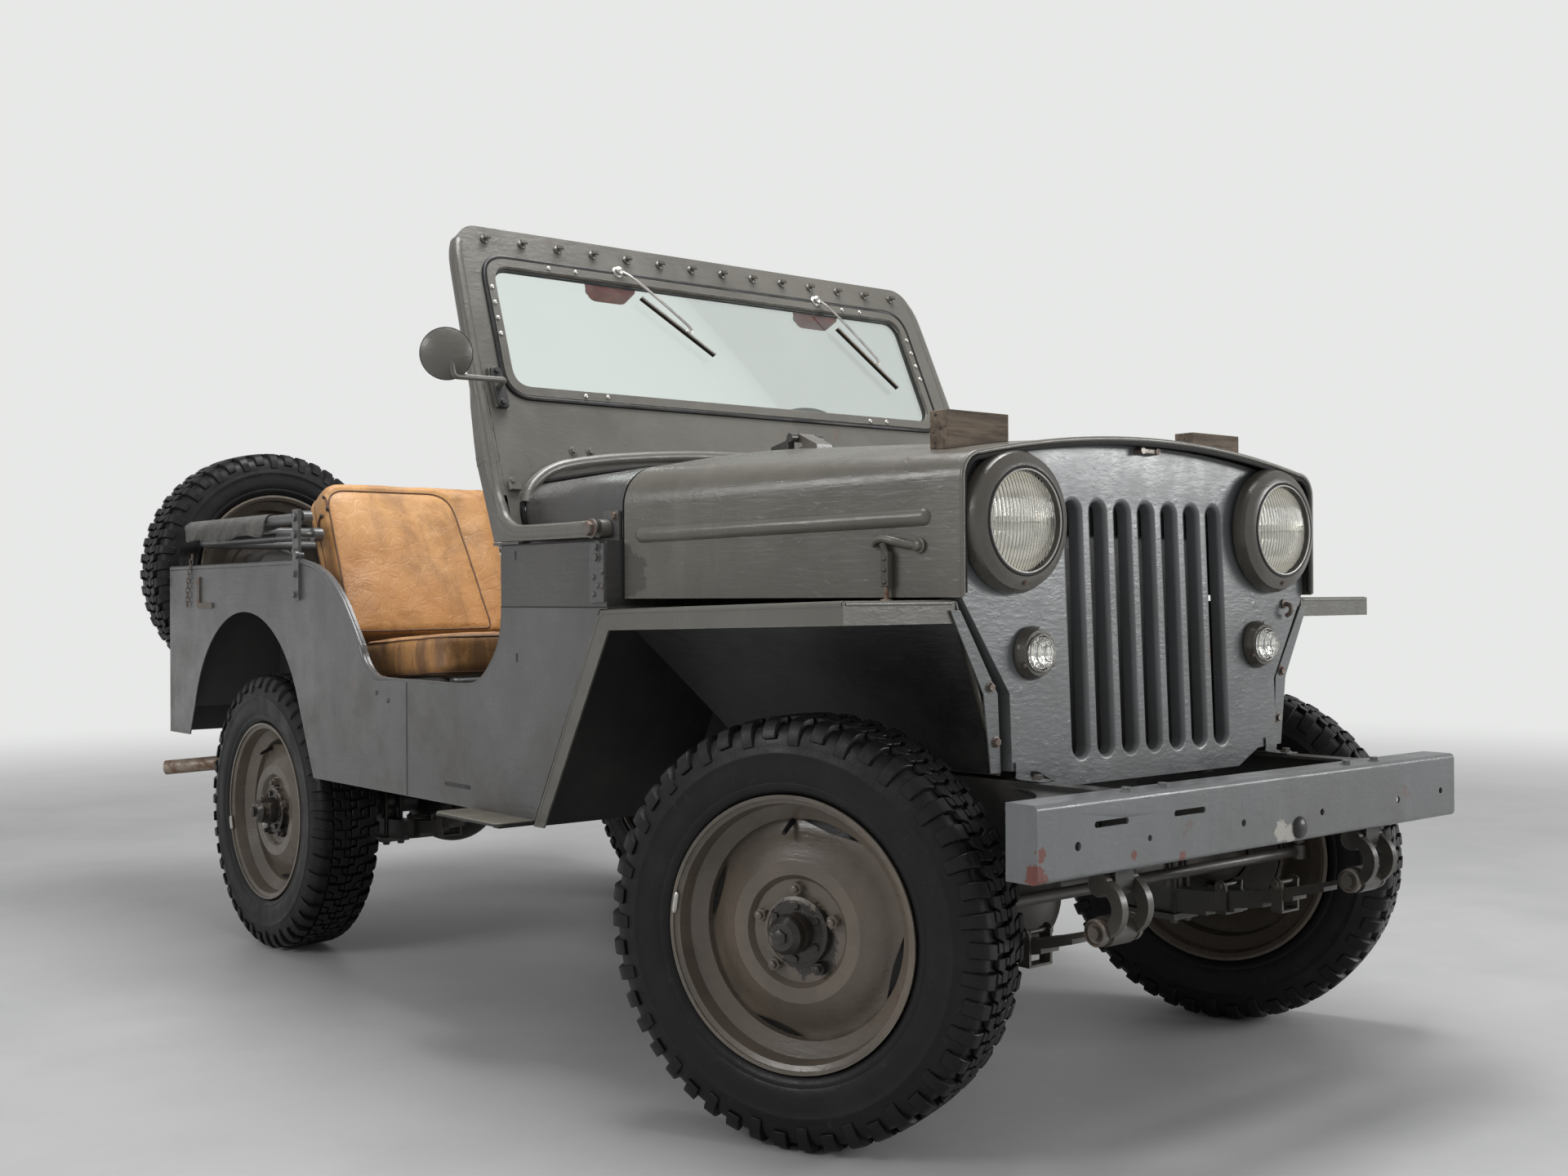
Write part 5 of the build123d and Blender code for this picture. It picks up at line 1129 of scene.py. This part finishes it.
    # Wipers: motors behind the glass, arms and blades in front
    motors, arms, blades, caps = Shape(), Shape(), Shape(), Shape()
    for pivot, motor_x, start, end in (
        ((-0.2675, 1.632), -0.270, (-0.222, 1.574), (-0.051, 1.452)),
        ((0.327, 1.631), 0.349, (0.371, 1.562), (0.521, 1.418)),
    ):
        casing = oblong(0.110, 0.060, 0.026, 5)
        motors.prism(casing, on_screen(motor_x, 1.616, -0.014), X, -SCREEN_OUT, 0.044, 0.006)
        rear = on_screen(motor_x, 1.616, -0.058)
        caps.prism(oblong(0.100, 0.016, 0.006, 3), rear, X, -SCREEN_OUT, 0.004, 0.001)
        caps.turn(((0.012, 0), (0.012, 0.020), (0.008, 0.024), (0, 0.024)), rear, -SCREEN_OUT, 12)
        caps.tube([on_screen(*pivot, -0.05), on_screen(*pivot, 0.004)], 0.008, 10)
        hub = ((0.014, 0), (0.014, 0.006), (0.010, 0.009), (0.010, 0.015), (0.006, 0.018), (0, 0.0185))
        arms.turn(hub, on_screen(*pivot), SCREEN_OUT, 16)
        joint = (start[0] * 0.4 + end[0] * 0.6, start[1] * 0.4 + end[1] * 0.6)
        lift = (joint[0] + 0.006, joint[1] + 0.010)
        bow = [(pivot[k] * 3 + joint[k]) / 4 + 0.004 for k in (0, 1)]
        line = ((pivot, 0.013), (bow, 0.020), (lift, 0.018), (joint, 0.013))
        bar(
            arms, curve([on_screen(*point, proud) for point, proud in line], 6), 0.0022, 0.0038, SCREEN_OUT, 8
        )
        arms.tube([on_screen(*start, 0.0115), on_screen(*end, 0.0115)], 0.0026, 8)
        arms.rivet(on_screen(*joint, 0.014), SCREEN_OUT, 0.0045)
        bar(blades, [on_screen(*start, 0.005), on_screen(*end, 0.005)], 0.0055, 0.0018, SCREEN_OUT, 8)
    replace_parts(motors.make("wiper_motors", RED, "windscreen", "black_plastic", 50), "wipers")
    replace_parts(arms.make("wiper_arms", STEEL, "windscreen", "bright_steel"), "wipers")
    blades.make("wiper_blades", SEAL, "windscreen", "black_plastic")
    caps.make("wiper_spindles", BLACK, "windscreen", "black_plastic")

    # Mirror glass in a ring, and the clamp on the screen's side
    face = Vector((0.47, 0.87, 0.14)).normalized()
    centre = Vector((-0.797, -0.290, 1.382))
    glass, clamp = Shape(), Shape()
    glass.turn(((0.0475, 0.005), (0.0475, 0.0062), (0, 0.0072)), centre, face, 40)
    glass.make("mirror_glass", MIRRORED, "windscreen", "bright_steel")
    rim = ((0.0475, 0.003), (0.0525, 0.003), (0.0530, 0.007), (0.0500, 0.0085), (0.0475, 0.0065))
    clamp.turn(rim, centre, face, 40)
    clamp.prism(oblong(0.028, 0.092, 0.008, 4), on_screen(-0.6535, 1.326, 0.003), X, SCREEN_OUT, 0.011, 0.002)
    for z in (1.292, 1.360):
        clamp.bolt(on_screen(-0.6535, z, 0.013), SCREEN_OUT, 0.007)
    clamp.make("mirror_clamp", BLACK, "windscreen", "black_plastic")


def make_front():
    """Lamps, catch, hooks, brackets and bumper stud at the car's front."""
    bowls, bulbs, rings, screws, glints = Shape(), Shape(), Shape(), Shape(), Shape()
    for side in (-1, 1):
        centre = Vector((side * LAMP_X, -1.402, LAMP_Z))
        inside = (
            (0.0, 0.062), (0.025, 0.058), (0.050, 0.045), (0.068, 0.024), (0.078, 0.000), (0.0815, -0.017),
        )
        outside = tuple((r + 0.002, d + 0.004) for r, d in reversed(inside[:-1]))
        bowls.turn(inside + ((0.083, -0.017),) + outside, centre, Y, 48)
        bulbs.turn(((0.013, 0.060), (0.013, 0.030), (0.010, 0.024), (0, 0.021)), centre, Y, 20)
        bulbs.tube([centre + Vector((-0.079, 0.004, 0)), centre + Vector((0.079, 0.004, 0))], 0.0012, 6)
        rings.tube(circle(centre - Y * 0.031, 0.0885, 48), 0.0030, 8, loop=True)
        # A thin bright steel ring on the headlamp lens paints in a glint.
        glints.tube(circle(centre - Y * 0.0325, 0.0845, 48), 0.0016, 8, loop=True)
        screws.bolt(centre + Vector((0, -0.0275, -0.101)), Vector((0, -0.85, -0.5)), 0.0038)
        centre = Vector((side * MARKER_X, -1.404, MARKER_Z))
        bowl = (
            (0, -0.012), (0.012, -0.008), (0.024, -0.0165), (0.025, -0.0165), (0.014, -0.006), (0, -0.009),
        )
        bowls.turn(bowl, centre, Y, 32)
        # Three thin bright steel rings on the marker lens paint in glints.
        for radius, depth in ((0.0300, 0.0228), (0.0228, 0.0308), (0.0132, 0.0386)):
            glints.tube(circle(centre - Y * depth, radius, 32), 0.0011, 6, loop=True)
        for point in circle(centre - Y * 0.0145, 0.0395, 3, Z, -X):
            screws.rivet(point, -Y, 0.0042)
    bowls.make("lamp_reflectors", REFLECTOR, "chassis", "bright_steel", 60)
    bulbs.make("lamp_bulbs", STEEL, "chassis", "bright_steel")
    rings.make("lamp_gaskets", SEAL, "chassis", "black_plastic")
    glints.make("lens_glints", STEEL, "chassis", "bright_steel")
    screws.make("lamp_screws", DULL, "chassis", "rusty_steel")

    iron, tabs = Shape(), Shape()
    # Catch in the middle of the grille's top edge
    bar(iron, [on_grille(-0.024, 1.1505, 0.012), on_grille(0.024, 1.1505, 0.012)], 0.005, 0.003, Z, 10)
    for x in (-0.021, 0.021):
        iron.tube([on_grille(x, 1.1505, 0.0), on_grille(x, 1.1505, 0.017)], 0.0062, 10)
    # Small hook beside the left marker lamp
    iron.turn(
        ((0.009, 0), (0.009, 0.004), (0.006, 0.006), (0, 0.006)), on_grille(0.413, 0.876, 0.0), GRILLE_OUT, 14
    )
    hook = ((0.413, 0.876, 0.003), (0.413, 0.872, 0.016), (0.412, 0.860, 0.018), (0.411, 0.852, 0.008))
    iron.tube(curve([on_grille(*point) for point in hook], 4), 0.0045, 8)
    for side in (-1, 1):
        for x, z in ((0.410, 0.746), (0.397, 0.656)):
            iron.bolt(Vector((side * x, -1.3945, z)), -Y, 0.007)
        # Flange of the apron behind the grille's edge
        outline = (
            (0.385, 0.605), (0.408, 0.605), (0.425, 0.735), (0.500, 0.872), (0.478, 0.872), (0.392, 0.735),
        )
        tabs.prism([(x * side, z) for x, z in outline], Vector((0, -1.3915, 0)), X, -Y, 0.003)
        # Strap from the grille's foot to the frame
        strap = [on_grille(side * 0.350, z, 0.003) for z in (0.622, 0.604)]
        strap += [(side * 0.350, y, z) for y, z in ((-1.411, 0.597), (-1.424, 0.5945), (-1.458, 0.5945))]
        bar(tabs, curve(strap, 4), 0.018, 0.0018, X, 8)
        iron.bolt(Vector((side * 0.350, -1.444, 0.596)), Z, 0.008)
    iron.make("front_iron", DULL, "chassis", "rusty_steel")
    tabs.make("front_tabs", FRONT_PAINT_BLUE_REFLECTION, "chassis", "body_paint", 38, 0.0008)
    stud, bolts = Shape(), Shape()
    dome = ((0.019, 0), (0.0185, 0.003), (0.014, 0.007), (0.007, 0.0095), (0, 0.010))
    stud.turn(dome, Vector((0.073, BUMPER_FACE_Y, 0.500)), -Y, 24)
    stud.make("bumper_stud", BLACK, "chassis", "black_plastic", 60)
    for x in (-0.262, 0.262, -0.352, 0.352):
        bolts.bolt(Vector((x, -1.625, 0.592)), Z, 0.008)
    bolts.make("bumper_bolts", FRONT_PAINT_BLUE_REFLECTION, "chassis", "body_paint")
    # Near-black sheets under the fenders, painted shade on their wheel side, and the fenders' rolled edges
    shade_sheet, rolled = Shape(), Shape()
    for side in (-1, 1):
        steps = 24
        stations = [(-1.3855 + 0.648 * k / steps, 0.8805 - 0.015 * k / steps) for k in range(steps + 1)]
        inner = [(side * (hood_half(y) - 0.007), y, z) for y, z in stations]
        outer = [(side * 0.7185, y, z) for y, z in stations]
        foot = [(side * 0.3915, y, 0.602) for y, z in stations]
        for first, second in ((inner, outer), (inner, foot)):
            pairs = [point for pair in zip(first, second) for point in pair]
            shade_sheet.add(pairs, [(2 * k, 2 * k + 1, 2 * k + 3, 2 * k + 2) for k in range(steps)])
        (x0, y0, z0), (x1, y1, z1) = (0.389, -0.7375, 0.8655), (0.7185, -0.5075, 0.457)
        slope = ((x0, y0, z0), (x1, y0, z0), (x1, y1, z1), (x0, y1, z1))
        shade_sheet.add([(side * x, y, z) for x, y, z in slope], [(0, 1, 2, 3)])
        x = side * 0.7205
        rolled.tube(
            [(x, -1.3855, 0.8825), (x, -0.738, 0.8678), (x, -0.722, 0.858), (x, -0.501, 0.458)], 0.0062, 10
        )
        rolled.tube([(side * 0.492, -1.3865, 0.8835), (side * 0.7205, -1.3865, 0.8835)], 0.0050, 10)
    rolled.make("fender_edges", FENDER, "chassis", "body_paint", 60)
    shade_sheet.make("fender_shade_sheets", WHEELHOUSE_SHADE, "chassis", "frame_paint")


CATCH_Y = -1.2885


def make_hood_fittings():
    """Hood welt, side catches and their tensioners."""
    welt, lip, hooks, straps, rods = Shape(), Shape(), Shape(), Shape(), Shape()
    arch = crown_line(0.489, 0.895, 1.127, 1.169, 0.042)
    lip.tube([Vector((x, -1.4115, z)) for x, z in arch], 0.0042, 8)
    lip.make("hood_lip", HOOD, "hood", "body_paint", 60)
    under = crown_line(0.483, 0.900, 1.119, 1.162, 0.040)
    welt.tube([Vector((x, -1.4095, z)) for x, z in under], 0.0045, 8)
    welt.make("hood_welt", SEAL, "hood", "black_plastic")
    for side in (-1, 1):
        x = side * (hood_half(-1.290) + 0.005)
        hook = (
            (0.515, -1.338, 0.977), (0.524, -1.320, 0.979), (0.536, -1.300, 0.985), (0.541, -1.280, 0.989),
            (0.544, -1.266, 0.986), (0.545, -1.260, 0.977),
        )
        path = curve([(side * across_x, y, z) for across_x, y, z in hook], 4)
        hooks.tube(path, [0.0075 - 0.003 * abs(k / len(path) - 0.35) for k in range(len(path))], 10)
        hooks.bolt(Vector((side * 0.5145, -1.338, 0.977)), X * side, 0.0095)
        outline = ((-0.0085, 0), (0.0085, 0), (0.0085, 0.058), (-0.0085, 0.058))
        straps.prism(outline, Vector((x + side * 0.003, CATCH_Y, 0.910)), Y * side, X * side, 0.010, 0.0015)
        for z in (0.918, 0.938, 0.956):
            straps.rivet(Vector((x + side * 0.013, CATCH_Y, z)), X * side, 0.0042)
        straps.tube([(x + side * 0.006, CATCH_Y, 0.962), (x + side * 0.010, -1.282, 0.982)], 0.0065, 10)
        foot = Vector((x + side * 0.008, CATCH_Y, 0.887))
        rods.tube([foot, foot + Z * 0.027], 0.0042, 10)
        rods.turn(((0.011, 0), (0.010, 0.003), (0.004, 0.004), (0, 0.004)), foot, Z, 14)
    hooks.make("hood_hooks", HOOD, "hood", "body_paint", 60)
    straps.make("hood_straps", BEZEL, "chassis", "body_paint")
    rods.make("hood_rods", PIPE, "chassis", "rusty_steel")


DOOR_EDGE = (
    (-0.377, 0.994), (-0.377, 0.930), (-0.377, 0.866), (-0.366, 0.812), (-0.333, 0.766), (-0.285, 0.730),
    (-0.225, 0.718), (-0.040, 0.718), (0.150, 0.718), (0.190, 0.725), (0.222, 0.742), (0.244, 0.765),
    (0.258, 0.790), (0.330, 0.872), (0.375, 0.912), (0.426, 0.946), (0.490, 0.970), (0.566, 0.9845),
)


LINKS = 11


def make_body():
    """Rolled edges, seams, painted shade in the slots, screws, pivot bolts and the rear chain on the tub and
    cowl.
    """
    edges, seams, dark, heads, iron = Shape(), Shape(), Shape(), Shape(), Shape()
    for side in (-1, 1):
        x = side * 0.7225
        path = curve([(x, y, z) for y, z in DOOR_EDGE], 4)
        edges.tube(
            path, [0.0032 if p.y < 0.10 else min(0.0075, 0.0032 + (p.y - 0.10) * 0.05) for p in path], 10
        )
        edges.tube([(x, 0.566, 0.9835), (x, 1.452, 0.981)], 0.0065, 10)
        seams.block(Vector((side * 0.7255, -0.562, 0.8775)), (0.370, 0.0022, 0.0012), Y, X * side)
        seams.block(Vector((side * 0.7255, -0.562, 0.9985)), (0.370, 0.0030, 0.0012), Y, X * side)
        edges.tube([(side * 0.7252, 0.028, 0.714), (side * 0.7252, 0.028, 0.470)], 0.0017, 6)
        # Black prisms over the slots paint in the shade inside them.
        for y, z, wide, high in (
            (-0.431, 0.978, 0.006, 0.018), (-0.435, 0.779, 0.006, 0.018), (-0.1965, 0.5095, 0.107, 0.009),
        ):
            outline = oblong(wide, high, min(wide, high) * 0.49, 3)
            dark.prism(outline, Vector((side * BODY_HALF, y, z)), Y * side, X * side, 0.0006)
        for y, z in ((0.172, 0.685), (0.116, 0.670)):
            heads.rivet(Vector((side * BODY_HALF, y, z)), X * side, 0.0055)
        # Rivets, nuts and pivot bolt of the windscreen's pivot plate
        for y, z in ((-0.717, 0.932), (-0.744, 0.915), (-0.717, 0.901), (-0.744, 0.942), (-0.731, 0.917)):
            heads.rivet(Vector((side * 0.731, y, z)), X * side, 0.0058)
        for y, z in ((-0.728, 0.988), (-0.728, 0.968)):
            heads.bolt(Vector((side * 0.731, y, z)), X * side, 0.0075)
        iron.bolt(Vector((side * 0.7335, -0.715, 1.021)), X * side, 0.0135)
        iron.bolt(Vector((side * 0.6975, -0.738, 1.044)), X * side, 0.0070)
        # Shelf edge that closes the slit under the arm
        edges.block(Vector((side * 0.7095, -0.394, 1.0015)), (0.030, 0.096, 0.006), X, Z)
        # Bow bar: bolts and the small knob
        for z in (0.905, 0.955, 1.010):
            heads.bolt(Vector((side * 0.733, BOW_PIVOT_Y, z)), X * side, 0.0075)
        knob = ((0.006, 0), (0.006, 0.012), (0.010, 0.014), (0.010, 0.022), (0, 0.024))
        heads.turn(knob, Vector((side * 0.731, 0.545, 1.0)), X * side, 12)
    edges.tube([(-0.722, 1.4585, 0.9815), (0.722, 1.4585, 0.9815)], 0.0065, 10)
    treads = Shape()
    for side in (-1, 1):
        plate = oblong(0.100, 0.246, 0.017, 5)
        treads.prism(plate, Vector((side * 0.756, -0.370, 0.4655)), X, Z, 0.003, 0.0015)
    treads.make("step_treads", TREAD, "chassis", "frame_paint")
    edges.make("rolled_edges", BODY, "chassis", "body_paint", 60)
    seams.make("body_seams", SEAL, "chassis", "black_plastic")
    dark.make("body_slot_shade", BLACK, "chassis", "black_plastic")
    heads.make("body_rivets", BODY, "chassis", "body_paint")
    # Bracket and hanging chain behind the right wheel arch
    y0, y1, y2, z0, z1, z2 = 1.137, 1.225, 1.243, 0.870, 0.885, 0.955
    angle = ((y2, 0.943), (y2, z2), (y1, z2), (y1, z1), (y0, z1), (y0, z0), (y2, z0))
    iron.prism([(-y, z) for y, z in angle], -X * BODY_HALF, -Y, -X, 0.005, 0.0006)
    for n in range(LINKS):
        t = n / (LINKS - 1)
        middle = Vector((-0.731, 1.273 + 0.038 * t + 0.012 * math.sin(math.pi * t), 1.010 - 0.129 * t))
        link = circle(middle, 1, 12, (X if n % 2 else Y) * 0.0042, Z * 0.0085)
        iron.tube(link, 0.0014, 6, loop=True)
    iron.make("body_iron", DULL, "chassis", "rusty_steel")
    lamps = Shape()
    for side in (-1, 1):
        dome = ((0.037, 0), (0.037, 0.004), (0.030, 0.008), (0.015, 0.0095), (0, 0.010))
        lamps.turn(dome, Vector((side * 0.660, 1.5150, 0.570)), Y, 28)
    lamps.make("tail_lenses", RED_LENS, "chassis", "lens_glass", 60)


AXLE_CLASP = 0.046
BUSH = (
    (0.022, 0), (0.022, 0.007), (0.018, 0.009), (0.017, 0.005), (0.010, 0.004), (0.0095, 0.012), (0, 0.012),
)


def make_springs():
    """Spring clips, U-bolts and shackle bushes."""
    clips, bushes = Shape(), Shape()
    for axle_y, half in ((FRONT_AXLE_Y, FRONT_SPRING_HALF), (REAR_AXLE_Y, REAR_SPRING_HALF)):
        bend = half**2 / (2 * SPRING_CAMBER)
        for side in (-1, 1):
            x = side * SPRING_X
            for end in (-1, 1):
                for share in (0.64, 0.36):
                    away = half * share
                    top = 0.306 + away**2 / (2 * bend)
                    y = axle_y + end * away
                    for ear in (-0.0255, 0.0255):
                        clips.block(Vector((x + ear, y, top - 0.012)), (0.005, 0.024, 0.056), X, Z, 0.001)
                    clips.block(Vector((x, y, top - 0.041)), (0.056, 0.024, 0.004), X, Z)
                    clips.tube([(x - 0.036, y, top + 0.012), (x + 0.036, y, top + 0.012)], 0.0045, 10)
                    for out in (-1, 1):
                        clips.bolt(Vector((x + out * 0.0285, y, top + 0.012)), X * out, 0.0085)
                eye = Vector((x, axle_y + end * half, SPRING_EYE_Z))
                for out in (-1, 1):
                    bushes.turn(BUSH, eye + X * out * 0.0378, X * out, 24)
            for shift in (-0.021, 0.021):
                arch = circle(Vector((x + shift, axle_y, HUB_Z)), AXLE_CLASP, 18, -Y)[:10]
                drop = Z * 0.113
                clips.tube([arch[0] - drop, *arch, arch[-1] - drop], 0.006, 8)
                for y in (-AXLE_CLASP, AXLE_CLASP):
                    clips.bolt(Vector((x + shift, axle_y + y, 0.246)), -Z, 0.009)
    clips.make("spring_clips", CHASSIS, "chassis", "frame_paint")
    bushes.make("spring_bushes", DULL, "chassis", "rusty_steel")


GAP_POINTS, GAP_RADIUS, GAP_REACH = 17, 0.1785, 0.30


def make_wheel_fittings():
    """Hub bolts, studs, valve, balance weight and painted shade in the disc gaps of each wheel."""
    for name in (*CORNERS, "spare"):
        place = wheel_frame(name)
        turned = place @ Matrix.Rotation({"front_right": 0.5, "rear_right": 0.9}.get(name, 0.2), 4, "X")

        def spot(out, radius, angle):
            return turned @ Vector((out, radius * math.cos(angle), radius * math.sin(angle)))

        out_dir = (place.to_3x3() @ X).normalized()
        bolts, dark, bright = Shape(), Shape(), Shape()
        if name != "spare":
            for k in range(6):
                bolts.bolt(spot(0.0503, 0.0435, math.tau * k / 6), out_dir, 0.0068)
            for out, steps, profile in (
                (0.102, 6, ((0.013, 0), (0.013, 0.006), (0.008, 0.008), (0, 0.008))),
                (0.050, 28, ((0.0335, 0), (0.0335, 0.020), (0.031, 0.026), (0.031, 0.024))),
                (0.048, 32, ((0.058, 0), (0.058, 0.003), (0.052, 0.005), (0.052, 0.003))),
            ):
                bolts.turn(profile, place @ (X * out), out_dir, steps)
            for k in range(5):
                a = math.tau * k / 5
                stud = place @ Vector((0.050, 0.06985 * math.sin(a), 0.06985 * math.cos(a)))
                bolts.turn(((0.0062, 0), (0.0062, 0.009), (0.004, 0.0105), (0, 0.0105)), stud, out_dir, 12)
        # Black crescents over the disc's gaps paint in the shade inside them; the valve stem below is real
        # black rubber.
        for k in range(4):
            middle = math.tau * (k + 0.5) / 4
            lines = []
            for out, depth in ((0.0165, 0.0), (0.0195, 0.0115)):
                for n in range(GAP_POINTS):
                    share = n / (GAP_POINTS - 1)
                    radius = GAP_RADIUS - depth * math.sin(math.pi * share)
                    lines.append(spot(out, radius, middle + GAP_REACH * (2 * share - 1)) + out_dir * 0.0014)
            steps = range(GAP_POINTS - 1)
            dark.add(lines, [(n, n + 1, GAP_POINTS + n + 1, GAP_POINTS + n) for n in steps])
        stem = [spot(0.018, 0.176, 1.2), spot(0.032, 0.170, 1.2), spot(0.052, 0.160, 1.2)]
        dark.tube(stem, [0.0055, 0.0045, 0.0038], 10)
        weight = [spot(0.0795, 0.2165, 2.4 + 0.02 * n) for n in range(9)]
        bright.tube(weight, [0.003] + [0.005] * 7 + [0.003], 8)
        body = "chassis" if name == "spare" else f"wheel_{name}"
        if bolts.verts:
            bolts.make(f"hub_bolts_{name}", WHEEL, body, "wheel_paint")
        dark.make(f"wheel_gap_shade_and_valve_{name}", SEAL, body, "black_plastic")
        bright.make(f"wheel_weight_{name}", STEEL, body, "bright_steel")


# Build


make_stage()
make_tyres()
make_seats()
make_flap()
make_screen()
make_front()
make_hood_fittings()
make_body()
make_springs()
make_wheel_fittings()
dress_nodes()
